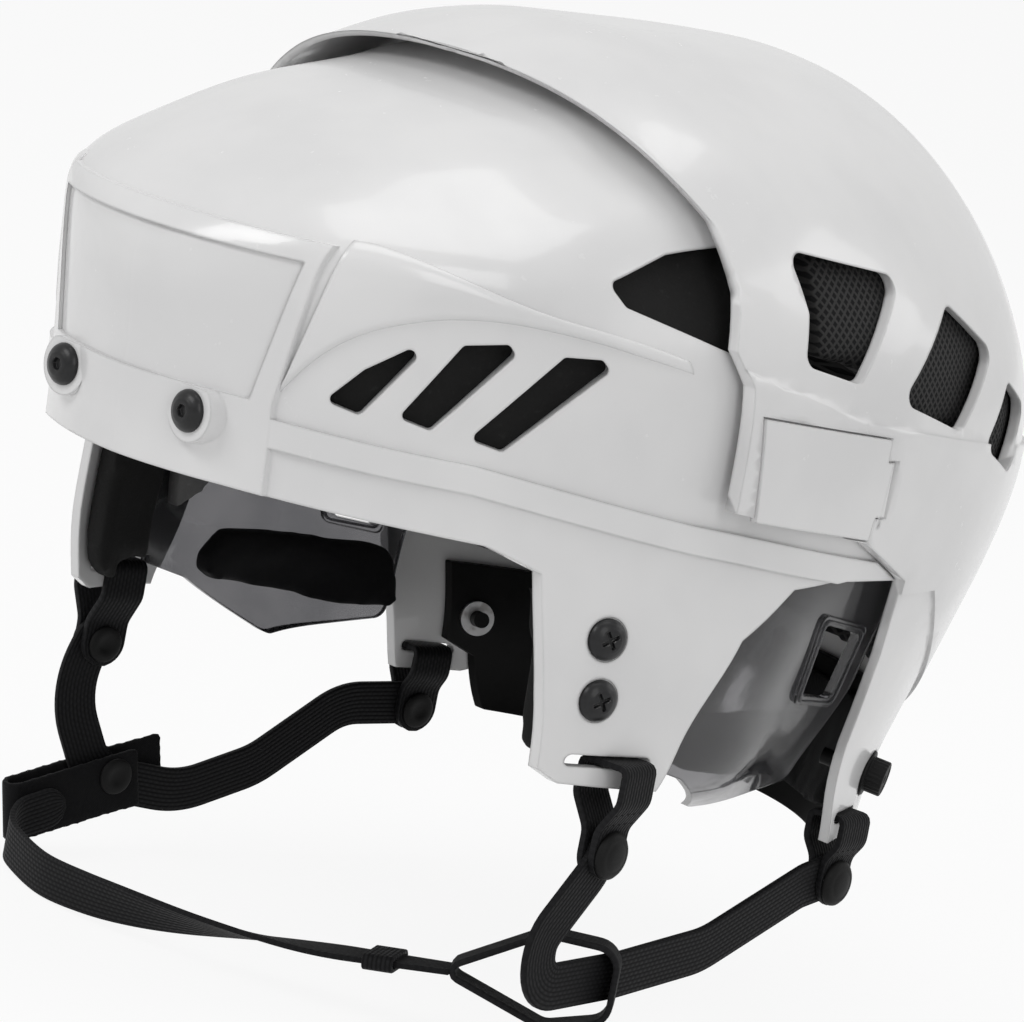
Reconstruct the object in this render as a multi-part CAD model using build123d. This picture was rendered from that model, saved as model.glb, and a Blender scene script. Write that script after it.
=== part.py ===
from build123d import *
import math
import os

# An adult ice hockey helmet. Millimetres, +Z up, the face looks along -Y and the wearer's left is +X.
# The origin is the middle of the head, level with the lower edge of the brow.

# Driving sizes of the front shell
front_half_width = 102.3
brow_reach = 132.6
side_centre = 20.0
front_back_reach = 128.0
crown_height = 108.0
widest_height = 20.0
dome_front_reach = 192.7

# Driving sizes of the rear shell, which overlaps the front one
rear_half_width = 105.1
rear_front_reach = 160.0
rear_back_reach = 132.7
rear_crown_height = 114.0
rear_widest_height = 27.0
rear_crown_shift = 25.0

# Walls, gaps and travels
shell_wall = 3.0
slide_gap = 0.6
slide_travel = 18.0
skin_gap = 0.15
pad_gap = 0.4
overrun = 30.0
reach_out = 260.0
foam_thickness = 9.5
guard_thickness = 2.0
guard_crease_z = -47.7
guard_crease_lean_share = 0.09
guard_crease_slope_share = 0.14
guard_rim_width = 2.4
guard_rim_height = 0.8
guard_round = 5.0
ear_pad_depth = 9.0
temple_pad_depth = 8.0
temple_block_depth = 9.0
crown_pad_half_width = 42.0
crown_pad_front = -72.0
crown_pad_gap = 1.5

# How the shells are drawn: (height, width, back reach) as shares, from the skirt up to the widest level
front_skirt_shares = ((-0.89, 0.95, 0.75), (-0.56, 0.98, 0.84), (-0.185, 0.995, 0.95), (0.185, 1.0, 1.0))
rear_skirt_shares = ((-0.89, 0.79, 0.685), (-0.74, 0.83, 0.745), (-0.46, 0.88, 0.83), (-0.18, 0.94, 0.925),
                     (0.045, 0.985, 0.98), (0.25, 1.0, 1.0))
skirt_level_shares = (-0.9, -0.62, -0.45, -0.3, -0.15, 0.02, 0.185)
dome_level_shares = (0.17, 0.33, 0.46, 0.6, 0.75, 0.88, 0.955, 0.985, 0.996)
wall_lean_share = 0.11
wall_roundness = 1.95
skirt_squareness = 0.3
skirt_square_z = (-45.0, 0.0)
dome_roundness = 2.3
rear_roundness = 2.12
dome_front_power = 1.645
dome_side_power = 2.1
dome_back_power = 2.6
rear_front_power = 1.6
rear_side_power = 0.94
rear_rear_power = 0.39
crease_sharpness = 90
nest_sharpness = 200
half_section_steps = 13
search_steps = 26
rim_front_y = -24.0
rim_lean_share = -0.333
rim_lean_start = 36.0
rim_fade = 34.0
front_slack_share = 0.15
skirt_slack_share = 0.12
skirt_slack_y = (-10.0, 40.0)
skirt_slack_z = (-15.0, 5.0)

# Side outlines as shares of brow_reach (along Y) and crown_height (up)
front_rim_shares = ((-1.5, 0.0), (-0.95, -0.009), (-0.603, -0.037), (-0.505, -0.083), (-0.475, -0.352),
                    (-0.45, -0.523), (-0.405, -0.553), (-0.194, -0.562), (-0.139, -0.4), (-0.073, -0.2),
                    (0.05, -0.083), (0.196, -0.065), (0.468, -0.074), (0.468, 0.241), (0.226, 0.278),
                    (0.113, 0.38), (-0.038, 0.407), (-0.038, 1.5), (-1.5, 1.5))
rear_rim_shares = ((-0.377, 1.5), (-0.347, 0.963), (-0.287, 0.852), (-0.219, 0.722), (-0.207, 0.583),
                   (-0.226, 0.463), (-0.189, 0.389), (-0.173, 0.102), (0.189, 0.037), (0.362, -0.065),
                   (0.392, -0.259), (0.407, -0.5), (0.452, -0.759), (0.581, -0.75), (0.739, -0.667),
                   (0.89, -0.593), (1.6, -0.574), (1.6, 1.5))
ledge_shares = ((-0.98, 0.167), (-0.792, 0.148), (-0.649, 0.139), (-0.43, 0.097), (-0.219, 0.056), (0.5, -0.056))
side_vent_shares = ((-0.46, 0.574), (-0.302, 0.639), (-0.121, 0.676), (-0.121, 0.426), (-0.226, 0.458),
                    (-0.43, 0.528))
rear_window_shares = (((-0.068, 0.685), (0.241, 0.639), (0.09, 0.407), (-0.06, 0.444), (-0.042, 0.556)),
                      ((0.392, 0.583), (0.566, 0.472), (0.43, 0.296), (0.211, 0.37)),
                      ((0.649, 0.398), (0.784, 0.324), (0.694, 0.176), (0.543, 0.25)))
latch_front_shares = ((-0.128, 0.079), (-0.162, 0.329))
latch_rear_shares = ((0.1915, 0.29), (0.1915, 0.04))
rear_band_shares = ((-0.452, 0.481), (-0.249, 0.454), (-0.189, 0.417), (0.113, 0.324), (0.445, 0.278),
                    (0.83, 0.222), (1.6, 0.185), (1.6, -0.62), (0.9, -0.62), (0.5, -0.1), (-0.452, -0.1))
guard_shares = ((-0.395, -0.17), (-0.385, -0.435), (-0.24, -0.5), (-0.106, -0.546), (0.045, -0.657),
                (0.347, -0.611), (0.422, -0.37), (0.44, -0.13), (0.41, -0.01), (-0.1, -0.01), (-0.25, -0.17))
guard_window_shares = ((0.219, -0.185), (0.362, -0.222), (0.347, -0.389), (0.234, -0.37))
ear_pad_shares = ((-0.135, -0.5), (-0.063, -0.4), (0.28, -0.41), (0.352, -0.43), (0.367, -0.574), (0.21, -0.585),
                  (-0.08, -0.541))
temple_pad_shares = ((-0.475, -0.12), (-0.45, -0.48), (-0.4, -0.525), (-0.271, -0.525), (-0.241, -0.12))
temple_block_shares = ((-0.219, -0.148), (-0.219, -0.37), (-0.075, -0.278), (-0.015, -0.13))
front_liner_shares = ((-1.5, -0.026), (-0.95, -0.035), (-0.6, -0.063), (-0.5, -0.1), (-0.3, -0.1), (-0.06, 0.01),
                      (-0.06, 1.5), (-1.5, 1.5))
rear_liner_shares = ((0.0, 1.5), (0.0, 0.435), (0.128, 0.41), (0.25, 0.31), (0.5, 0.27), (0.5, -0.19),
                     (0.68, -0.42), (1.6, -0.42), (1.6, 1.5))
side_liner_shares = ((-0.045, 0.01), (0.43, 0.01), (0.43, 0.21), (0.2, 0.24), (0.09, 0.34), (-0.045, 0.36))
cradle_shares = ((0.53, -0.47), (0.53, -0.665), (0.585, -0.7), (0.6, -0.83), (0.85, -0.83), (1.6, -0.8), (1.6, -0.47))
cradle_pad_shares = ((0.68, -0.5), (0.68, -0.78), (1.6, -0.76), (1.6, -0.5))

# Slashes of the scoop, in a plane that faces the front quarter: shares of brow_reach along, crown_height up
quarter_turn = 51.5
slash_shares = (((-0.452, 0.225), (-0.385, 0.207), (-0.303, 0.355), (-0.316, 0.377), (-0.392, 0.31)),
                ((-0.318, 0.217), (-0.256, 0.2), (-0.128, 0.394), (-0.145, 0.417), (-0.226, 0.4)),
                ((-0.186, 0.194), (-0.12, 0.177), (0.05, 0.389), (0.03, 0.412), (-0.04, 0.407)))
scoop_shares = ((-0.58, 0.19), (-0.5, 0.28), (-0.4, 0.38), (-0.27, 0.438), (-0.13, 0.447), (0.0, 0.43),
                (0.062, 0.4), (-0.1, 0.165), (-0.3, 0.175))

# Forehead: a block that stands proud and holds a shallow bare panel, seen from the front
block_half_width = 40.0
block_top_half_width = 47.0
block_top = 61.0
block_proud = 1.4
panel_half_width = 35.0
panel_top_half_width = 43.0
panel_bottom = 21.0
panel_top = 56.0
panel_depth = 1.1
ledge_proud = 1.5
ledge_drop = 7.0
scoop_depth = 3.6
band_proud = 1.0
small_round = 1.6

# Screws and tee nuts
head_radius = 5.2
head_height = 2.6
head_slope_share = 0.55
shank_radius = 2.0
drive_slot_width = 1.1
drive_slot_depth = 1.0
seat_depth = 0.5
tee_flange_radius = 5.0
tee_flange_thickness = 1.0
tee_barrel_radius = 2.9
tee_barrel_length = 3.5
brow_grip = 8.0
tab_grip = 4.8
brow_screw_half_spacing = 23.0
brow_screw_height = 15.0
boss_radius = 7.6
boss_proud = 1.6
brow_sag_share = 0.018
tab_screw_y_share = -0.366
tab_screw_z_shares = (-0.214, -0.353)

# Size latches
latch_gap = 0.5
latch_sink = 0.8
latch_lift = 1.4
latch_axis_y = 27.6
latch_axis_depth = 0.3
latch_low = 11.0
latch_high = 25.0
latch_swing_room = 2.3
latch_tongue_room = 0.55
latch_pin_low = 8.0
latch_pin_high = 28.0
latch_barrel_radius = 1.35
latch_pin_radius = 0.6
latch_pin_clearance = 0.05
latch_groove_gap = 0.3

# Fit dials and the cradle arms that they draw in
dial_y = 80.0
dial_z = -66.0
dial_radius = 4.8
dial_height = 4.6
dial_flange_radius = 6.2
dial_flange_thickness = 1.0
dial_shaft_radius = 2.2
dial_shaft_clearance = 0.06
dial_grips = 12
dial_grip_depth = 0.45
dial_seat_depth = 0.3
dial_shaft_length = 12.6
cradle_wall = 2.4
cradle_standoff = 0.9
cradle_travel = 4.0
cradle_middle_gap = 8.0
cradle_pad_thickness = 4.0
nut_radius = 4.8
nut_thickness = 1.6

# Strap anchors and the harness
strap_thickness = 1.6
loop_width = 13.0
jaw_strap_width = 12.0
slot_height = 3.2
slot_end_gap = 1.0
front_anchor_y = -37.5
front_slot_z = -53.6
front_slot_length = 23.0
front_slot_shift = -4.0
front_loop_slide = 2.5
front_tab_drop = 9.0
front_snap_drop = 23.0
front_loop_lean = 3.9
rear_anchor_y = 68.0
rear_slot_z = -75.5
rear_tab_drop = 7.0
rear_snap_drop = 18.0
rear_loop_lean = 2.3
loop_stand = 0.45
left_jaw_shares = ((-0.275, -0.653), (-0.28, -0.735), (-0.42, -0.9), (-0.415, -1.02), (-0.16, -1.018),
                   (0.12, -0.993), (0.43, -0.872), (0.56, -0.85))
left_jaw_rounds = (12.0, 9.0, 8.5, 40.0, 40.0, 20.0)
right_jaw_shares = ((-0.302, -0.653), (-0.36, -0.833), (-0.262, -1.055), (-0.045, -1.097), (0.136, -1.023),
                    (0.332, -0.857), (0.56, -0.85))
right_jaw_rounds = (25.0, 16.0, 30.0, 30.0, 20.0)
chin_pivot_y_share = -0.226
chin_pivot_z_share = -1.045
loop_round = 1.0
snap_radius = 6.2
snap_height = 2.8
snap_base_radius = 5.0
snap_base_height = 1.2
snap_post_radius = 1.5
chin_strap_thickness = 1.4
chin_strap_width = 11.0
chin_strap_steps = 16
chin_tab_shares = ((-0.34, -1.11), (-0.45, -1.145))
chin_strap_shares = ((-0.74, -0.555, -1.185), (-0.39, -0.6, -1.18), (0.0, -0.578, -1.14), (0.342, -0.498, -1.103))
chin_corner_shares = (0.6256, -0.377, -1.069)
chin_loop_shares = ((0.0, -1.069), (0.222, -0.925), (0.41, -0.93), (0.41, -1.125), (0.26, -1.163))
chin_loop_turn = 39.1
chin_loop_width = 8.0
chin_loop_thickness = 2.0
chin_pad_width = 17.0
chin_pad_thickness = 2.0
chin_pad_inner_half = 1.9
chin_pad_fold_shares = (-0.46, -1.142)
chin_pad_slope = 14.3
chin_pad_outer_length = 52.0
chin_pad_inner_length = 41.0
keeper_wall = 1.2
keeper_length = 8.0
keeper_place_share = 0.9


def eased(value, low, high):
    share = min(1, max(0, (value - low) / (high - low)))
    return share * share * (3 - 2 * share)


def between(share, table):
    """Reads a table of shares between its rows."""
    if share <= table[0][0]:
        return table[0][1:]
    for low, high in zip(table, table[1:]):
        if share <= high[0]:
            part = (share - low[0]) / (high[0] - low[0])
            return [first + (second - first) * part for first, second in zip(low[1:], high[1:])]
    return table[-1][1:]


def stretch(x, y, half_width, front, back, roundness, centre):
    """How far out a point lies in an egg slice: 1 on its edge, less inside."""
    reach = front if y < centre else back
    return ((abs(x) / half_width) ** roundness + (abs(y - centre) / reach) ** roundness) ** (1 / roundness)


def blended(values, sharpness):
    """The larger of the values, with the crease between them a little rounded."""
    return sum(value ** sharpness for value in values) ** (1 / sharpness)


def front_alone(x, y, z, offset):
    """The steep sides and forehead of the front shell under its low dome."""
    width, back = between(z / crown_height, front_skirt_shares)
    roundness = wall_roundness + skirt_squareness * (1 - eased(z, *skirt_square_z))
    wall = stretch(x, y, front_half_width * width + offset,
                   brow_reach + side_centre + wall_lean_share * z + offset,
                   front_back_reach * back + offset, roundness, side_centre)
    rise = max(0, (z - widest_height) / (crown_height + offset - widest_height))
    if rise >= 1:
        return 2 * rise
    dome = stretch(x, y, (front_half_width * width + offset) * (1 - rise ** dome_side_power) ** (1 / dome_side_power),
                   (dome_front_reach + offset) * (1 - rise ** dome_front_power) ** (1 / dome_front_power),
                   (front_back_reach * back + offset) * (1 - rise ** dome_back_power) ** (1 / dome_back_power),
                   dome_roundness, side_centre)
    return blended((wall, dome), crease_sharpness)


def rear_measure(x, y, z, offset):
    """How far out a point lies in the rear shell's dome."""
    width, back = between(z / crown_height, rear_skirt_shares)
    sine = max(0, (z - rear_widest_height) / (rear_crown_height + offset - rear_widest_height))
    if sine >= 1:
        return 2 * sine
    cosine = math.sqrt(1 - sine * sine)
    return stretch(x, y, (rear_half_width * width + offset) * cosine ** rear_side_power,
                   (rear_front_reach + offset) * cosine ** rear_front_power,
                   (rear_back_reach * back + offset) * cosine ** rear_rear_power,
                   rear_roundness, side_centre - rear_crown_shift * sine)


def slack(y, z):
    """The front shell only has to pass under the rear one behind the rear one's front rim."""
    rim = rim_front_y + rim_lean_share * max(0, z - rim_lean_start)
    ahead = front_slack_share * (1 - eased(y, rim - rim_fade, rim))
    below = skirt_slack_share * (1 - eased(y, *skirt_slack_y)) * (1 - eased(z, *skirt_slack_z))
    return (1 - ahead) * (1 - below)


def front_measure(x, y, z, offset):
    """How far out a point lies in the front shell, which passes under the rear one at every size."""
    under = offset - shell_wall - slide_gap
    nested = [slack(y, z) * rear_measure(x, y - shift, z, under) for shift in (0, slide_travel)]
    return blended([front_alone(x, y, z, offset)] + nested, nest_sharpness)


def creased_measure(x, y, z, offset):
    """The front shell's lining, bent inwards below the guard's crease."""
    crease = guard_crease_z + guard_crease_lean_share * y
    return front_measure(x, y, z, offset - guard_crease_slope_share * max(0, crease - z))


def level_slice(measure, offset, level, centre):
    """One level section of a body's left half, found by searching outwards, and run a step past the middle."""
    points = []
    places = []
    for step in range(-1, half_section_steps + 2):
        turn = math.pi * (step / half_section_steps - 0.5)
        places.append(step / half_section_steps)
        low = 0
        high = reach_out
        for search in range(search_steps):
            middle = (low + high) / 2
            if measure(middle * math.cos(turn), centre + middle * math.sin(turn), level, offset) < 1:
                low = middle
            else:
                high = middle
        points.append(Vector(low * math.cos(turn), centre + low * math.sin(turn), level))
    curve = Edge.make_spline(points, parameters=places)
    return Face(Wire([curve, Edge.make_line(points[-1], points[0])]))


made_bodies = {}


def body(kind, offset):
    """The left half of a shell body, grown by an offset. Each is lofted once and kept."""
    key = (kind, round(offset, 4))
    if key not in made_bodies:
        front = kind != "rear"
        measure = {"front": front_measure, "creased": creased_measure, "rear": rear_measure}[kind]
        top = (crown_height if front else rear_crown_height) + offset
        widest = widest_height if front else rear_widest_height
        shift = 0 if front else rear_crown_shift
        slices = [level_slice(measure, offset, crown_height * share, side_centre) for share in skirt_level_shares]
        for share in dome_level_shares:
            slices.append(level_slice(measure, offset, widest + (top - widest) * share, side_centre - shift * share))
        made_bodies[key] = loft(slices) & left_half()
    return made_bodies[key]


def left_half():
    return Pos(reach_out / 2, 0, 0) * Box(reach_out, 2 * reach_out, 2 * reach_out)


def whole(half):
    """A half and its mirror image as one solid."""
    return half.fuse(mirror(half, Plane.YZ), glue=True)


def lining(depth):
    """What lies inside both halves of the shell at every size, this far in."""
    return body("front", -shell_wall - skin_gap - depth)


def creased_lining(depth):
    """The lining bent in below the ear, for the guard and its pad."""
    return body("creased", -shell_wall - skin_gap - depth)


def rear_lining(depth):
    return body("rear", -shell_wall - skin_gap - depth)


def flat_outline(points, rounding):
    outline = make_face(Polyline(*points, close=True))
    return fillet(outline.vertices(), rounding) if rounding else outline


def side_points(shares):
    return [(along * brow_reach, up * crown_height) for along, up in shares]


def side_prism(shares, rounding=0, grow=0):
    """A side outline drawn from the middle plane out to the left."""
    outline = flat_outline(side_points(shares), rounding)
    if grow:
        outline = offset(outline, grow)
    return Pos(-skin_gap, 0, 0) * extrude(Plane.YZ * outline, reach_out)


def layer(lining_kind, depth_from, depth_to, cutter):
    """A piece of the space between two depths of a lining, inside a cutter."""
    return (cutter & lining_kind(depth_from)) - lining_kind(depth_to)


def skin_point(solid, y, z):
    """Where a level line along X leaves a body on the wearer's left, with the outward direction there."""
    line = Edge.make_line((0, y, z), (reach_out, y, z))
    inside = solid & line
    here = max((vertex.center() for vertex in inside.vertices()), key=lambda point: point.X)
    face = min(solid.faces(), key=lambda one: one.distance_to(Vertex(here.X, here.Y, here.Z)))
    outward = face.normal_at(here)
    return here, outward


def normal_plane(solid, y, z):
    here, outward = skin_point(solid, y, z)
    flat = Vector(-outward.Y, outward.X, 0).normalized()
    return Plane(origin=here, x_dir=flat, z_dir=outward)


def post(radius, low, high):
    """A cylinder about the local Z axis between two heights."""
    return Pos(0, 0, (low + high) / 2) * Cylinder(radius, high - low)


def screw(grip):
    """A domed screw whose head seats on the local origin and whose shank runs inwards."""
    head = post(head_radius, 0, head_height)
    head = chamfer(head.edges().group_by(Axis.Z)[-1], head_height * head_slope_share, head_height)
    slot = Pos(0, 0, head_height) * Box(head_radius, drive_slot_width, 2 * drive_slot_depth)
    return head + post(shank_radius, -grip, 0) - slot - Rot(0, 0, 90) * slot


def tee_nut(start):
    """A tee nut whose flange lies just inside what it clamps."""
    flange = post(tee_flange_radius, -start - tee_flange_thickness, -start)
    barrel = post(tee_barrel_radius, -start - tee_barrel_length, -start)
    return flange + barrel - post(shank_radius, -start - tee_barrel_length, -start)


def screw_seat():
    """What a screw takes away from the wall that it clamps."""
    return post(head_radius + pad_gap, 0, overrun / 3) + post(shank_radius + skin_gap, -overrun / 2, 0)


def tee_room(start):
    """What the padding leaves free around a tee nut."""
    return post(tee_flange_radius + pad_gap, -start - tee_barrel_length - pad_gap, 0)


def brow_plane():
    """A brow screw looks straight ahead, so that a visor's two holes line up."""
    forward = -brow_reach * (1 - brow_sag_share) - boss_proud - block_proud
    return Plane(origin=(brow_screw_half_spacing, forward, brow_screw_height), x_dir=(1, 0, 0), z_dir=(0, -1, 0))


def tab_planes():
    return [normal_plane(body("front", -seat_depth), tab_screw_y_share * brow_reach, share * crown_height)
            for share in tab_screw_z_shares]


def at(plane, shape):
    return plane.location * shape


def front_view_prism(points, rounding=0):
    """An outline seen from the front, drawn through the forehead."""
    outline = flat_outline(points, rounding)
    return extrude(Plane.XZ * outline, reach_out)


def block_outline():
    return [(-block_half_width, -overrun), (block_half_width, -overrun), (block_half_width, panel_bottom),
            (block_top_half_width, block_top), (-block_top_half_width, block_top),
            (-block_half_width, panel_bottom)]


def panel_outline():
    return [(-panel_half_width, panel_bottom), (panel_half_width, panel_bottom),
            (panel_top_half_width, panel_top), (-panel_top_half_width, panel_top)]


def quarter_prism(shares, rounding, grow=0):
    """An outline in the plane that faces the front quarter, drawn through the wall there."""
    turn = math.radians(quarter_turn)
    outward = Vector(math.sin(turn), -math.cos(turn), 0)
    plane = Plane(origin=outward * brow_reach * 0.5, x_dir=(math.cos(turn), math.sin(turn), 0), z_dir=outward)
    outline = flat_outline(side_points(shares), rounding)
    if grow:
        outline = offset(outline, grow)
    return extrude(plane * outline, brow_reach * 0.6)


def ledge_band():
    """The strip under the ledge line that stands proud along the side."""
    low = [(along, up - ledge_drop / crown_height) for along, up in reversed(ledge_shares)]
    return side_prism(ledge_shares + tuple(low))


def scoop_space(inward, grow):
    """The sunk field of the scoop. It runs out to nothing at the ledge."""
    turn = math.radians(quarter_turn)
    hinge = Axis((math.sin(turn) * brow_reach * 0.85, -math.cos(turn) * brow_reach * 0.85, crown_height * 0.17),
                 (math.cos(turn), math.sin(turn), 0))
    tilt = math.degrees(math.atan(scoop_depth / (crown_height * 0.27)))
    return quarter_prism(scoop_shares, 0, grow) - body("front", -inward).rotate(hinge, -tilt)


def behind_rear_rim(grow):
    """Everything that the rear shell covers, with its front rim moved forward a little."""
    return side_prism(rear_rim_shares, 0, grow)


def forehead(outer):
    """The proud block with its bare panel, the screw boss and the ledge along the side."""
    block_zone = front_view_prism(block_outline())
    outer += block_zone & body("front", block_proud)
    outer += (ledge_band() & body("front", ledge_proud)) - block_zone - behind_rear_rim(slide_gap)
    outer += at(brow_plane(), post(boss_radius, -overrun / 2, 0))
    return outer - (front_view_prism(panel_outline()) - body("front", block_proud - panel_depth))


def front_shell():
    """The front shell: forehead, scoops, ledges, temple tabs and the wings under the rear shell."""
    outer = (forehead(body("front", 0)) - scoop_space(0, 0)) & side_prism(front_rim_shares)
    inner = body("front", -shell_wall) - scoop_space(shell_wall, shell_wall)
    half = outer - (inner - at(brow_plane(), post(boss_radius, -brow_grip, 0)))
    cutters = [side_prism(side_vent_shares, small_round), at(strap_plane(front_anchor_y, front_slot_z), front_slot()),
               at(brow_plane(), post(shank_radius + skin_gap, -overrun / 2, overrun / 2)),
               at(brow_plane(), post(tee_flange_radius + pad_gap, -overrun / 2, -brow_grip))]
    cutters += [quarter_prism(shares, small_round) for shares in slash_shares]
    cutters += [at(plane, screw_seat()) for plane in tab_planes()]
    return whole(half - cutters)


def rear_shell():
    """The rear shell, with its windows, latch pockets, tabs and dial holes."""
    outer = body("rear", 0) + (side_prism(rear_band_shares) & body("rear", band_proud))
    half = (outer & side_prism(rear_rim_shares)) - body("rear", -shell_wall)
    cutters = [side_prism(shares, small_round * 2) for shares in rear_window_shares]
    cutters += latch_room()
    cutters += [at(strap_plane(rear_anchor_y, rear_slot_z), rear_slot()), at(dial_plane(), dial_seat())]
    return whole(half - cutters)


def strap_plane(y, z):
    """A place on the jaw strap's plane: X runs back along it, Y is up and Z is outward and level."""
    start, span = jaw_line()
    flat = Vector(span.Y, -span.X, 0).normalized()
    along = Vector(-flat.Y, flat.X, 0)
    share = (y - start.Y) / span.Y
    return Plane(origin=(start.X + span.X * share, y, z), x_dir=along, z_dir=flat)


def jaw_line():
    """The straight line, seen from above, between the middles of the wall at both strap anchors."""
    front = skin_point(body("front", 0), front_anchor_y, front_slot_z)[0]
    rear = skin_point(body("rear", 0), rear_anchor_y, rear_slot_z)[0]
    half_wall = Vector(shell_wall / 2, 0, 0)
    return front - half_wall, Vector(rear.X - front.X, rear.Y - front.Y, 0)


def slot(length, shift):
    """A round-ended slot through the wall for a webbing loop."""
    return Pos(shift, 0, 0) * extrude(SlotOverall(length, slot_height), overrun / 2, both=True)


def front_slot():
    return slot(front_slot_length, front_slot_shift)


def rear_slot():
    return slot(loop_width + 2 * slot_end_gap, 0)


def strap_loop(lean, tab_drop, snap_drop):
    """A webbing loop through a tab's slot. It closes on the jaw strap at its snap."""
    half = strap_thickness / 2
    wide = shell_wall / 2 + loop_stand + lean + half
    close = strap_thickness + skin_gap
    high = -tab_drop
    low = -snap_drop + snap_radius
    foot = -snap_drop - snap_radius
    path = FilletPolyline((0, foot, close), (0, low, close), (0, high, wide), (0, 0, wide), (0, 0, -wide),
                          (0, high, -wide), (0, low, -close), (0, foot, -close), radius=loop_round)
    start = Plane(origin=path @ 0, x_dir=(1, 0, 0), z_dir=path % 0)
    band = sweep(start * Rectangle(loop_width, strap_thickness), path)
    return band - Pos(0, -snap_drop, 0) * post(snap_post_radius, -overrun, overrun)


def snap(drop):
    """A press stud through both legs of a loop and the strap between them."""
    out = strap_thickness * 1.5 + skin_gap
    cap = post(snap_radius, out, out + snap_height)
    cap = chamfer(cap.edges().group_by(Axis.Z)[-1], snap_height * head_slope_share, snap_height)
    stud = cap + post(snap_post_radius, -out, out) + post(snap_base_radius, -out - snap_base_height, -out)
    return Pos(0, -drop, 0) * stud


def front_strap_loop(slide=0):
    """The right one has slid to the front end of its slot."""
    place = strap_plane(front_anchor_y - slide, front_slot_z)
    return at(place, strap_loop(front_loop_lean, front_tab_drop, front_snap_drop))


def rear_strap_loop():
    return at(strap_plane(rear_anchor_y, rear_slot_z), strap_loop(rear_loop_lean, rear_tab_drop, rear_snap_drop))


def front_snap(slide=0):
    return at(strap_plane(front_anchor_y - slide, front_slot_z), snap(front_snap_drop))


def rear_snap():
    return at(strap_plane(rear_anchor_y, rear_slot_z), snap(rear_snap_drop))


def loop_room():
    """What the padding behind a temple tab leaves free for the webbing loop."""
    wide = loop_width + 2 * slot_end_gap + front_loop_slide
    tall = front_snap_drop + slot_height / 2
    room = Pos(-front_loop_slide / 2, slot_height / 2 - tall / 2, -overrun / 2) * Box(wide, tall, overrun)
    return at(strap_plane(front_anchor_y, front_slot_z), room)


def ribbon(plane, route, rounds, width, thickness):
    """A flat strap bent only in its own plane."""
    path = plane.location * FilletPolyline(*route, radius=list(rounds))
    start = Plane(origin=path @ 0, x_dir=plane.z_dir, z_dir=path % 0)
    return sweep(start * Rectangle(thickness, width), path)


def jaw_strap(shares, rounds, slide):
    """A jaw strap: down from the front snap, round a bend by the jaw and back up to the rear snap."""
    strap = ribbon(strap_plane(0, 0), side_points(shares), rounds, jaw_strap_width, strap_thickness)
    hole = post(snap_post_radius, -overrun, overrun)
    strap -= at(strap_plane(front_anchor_y - slide, front_slot_z - front_snap_drop), hole)
    return strap - at(strap_plane(rear_anchor_y, rear_slot_z - rear_snap_drop), hole)


def left_jaw_strap():
    return jaw_strap(left_jaw_shares, left_jaw_rounds, 0)


def right_jaw_strap():
    """The chin pad swings about a stud through this one."""
    strap = jaw_strap(right_jaw_shares, right_jaw_rounds, front_loop_slide)
    return mirror(strap - chin_pivot(snap_post_radius + skin_gap, overrun), Plane.YZ)


def chin_pivot_plane():
    return strap_plane(chin_pivot_y_share * brow_reach, chin_pivot_z_share * crown_height)


def chin_pivot(radius, reach):
    """A round bar about the level axis that the chin pad swings on."""
    return at(Plane(origin=chin_pivot_plane().origin, x_dir=(0, 1, 0), z_dir=(1, 0, 0)), post(radius, -reach, reach))


def latch_outline(tongue_end):
    """The latch seen from the side, with the tongue that reaches back to its hinge."""
    front = side_points(latch_front_shares)
    rear_top, rear_low = side_points(latch_rear_shares)
    high = latch_high + latch_gap
    low = latch_low - latch_gap
    return front + [rear_top, (rear_top[0], high), (tongue_end, high), (tongue_end, low), (rear_low[0], low), rear_low]


def latch_prism(tongue_end, grow):
    outline = offset(flat_outline(latch_outline(tongue_end), 0), grow) if grow else flat_outline(
        latch_outline(tongue_end), 0)
    return extrude(Plane.YZ * outline, reach_out)


def latch_axis_x():
    return skin_point(body("rear", 0), latch_axis_y, (latch_low + latch_high) / 2)[0].X - latch_axis_depth


def latch_rod(radius, low, high):
    """A cylinder about the latch's hinge axis."""
    return Pos(latch_axis_x(), latch_axis_y, 0) * post(radius, low, high)


def latch_room():
    """What the latch takes away from the rear shell: its pocket, the hinge groove and the pin's bore."""
    pocket = latch_prism(latch_axis_y + latch_swing_room, 0) - body("rear", -latch_sink)
    groove = latch_rod(latch_barrel_radius + latch_groove_gap, latch_low - latch_gap, latch_high + latch_gap)
    return [pocket, groove, latch_rod(latch_pin_radius, latch_pin_low, latch_pin_high)]


def size_latch():
    """The flap that frees the two halves. It swings out about the pin at its rear edge."""
    outline = latch_prism(latch_axis_y - latch_tongue_room + latch_gap, -latch_gap)
    flap = (outline & body("rear", latch_lift)) - body("rear", skin_gap - latch_sink)
    flap += latch_rod(latch_barrel_radius, latch_low, latch_high)
    return flap - latch_rod(latch_pin_radius + latch_pin_clearance, latch_low, latch_high)


def latch_pin():
    return latch_rod(latch_pin_radius, latch_pin_low, latch_pin_high)


def dial_plane():
    return normal_plane(body("rear", 0), dial_y, dial_z)


def dial_seat():
    """The round flat that a dial turns on, with the bore of its shaft."""
    return (post(dial_flange_radius + pad_gap, -dial_seat_depth, overrun / 2)
            + post(dial_shaft_radius + dial_shaft_clearance, -overrun / 2, 0))


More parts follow.
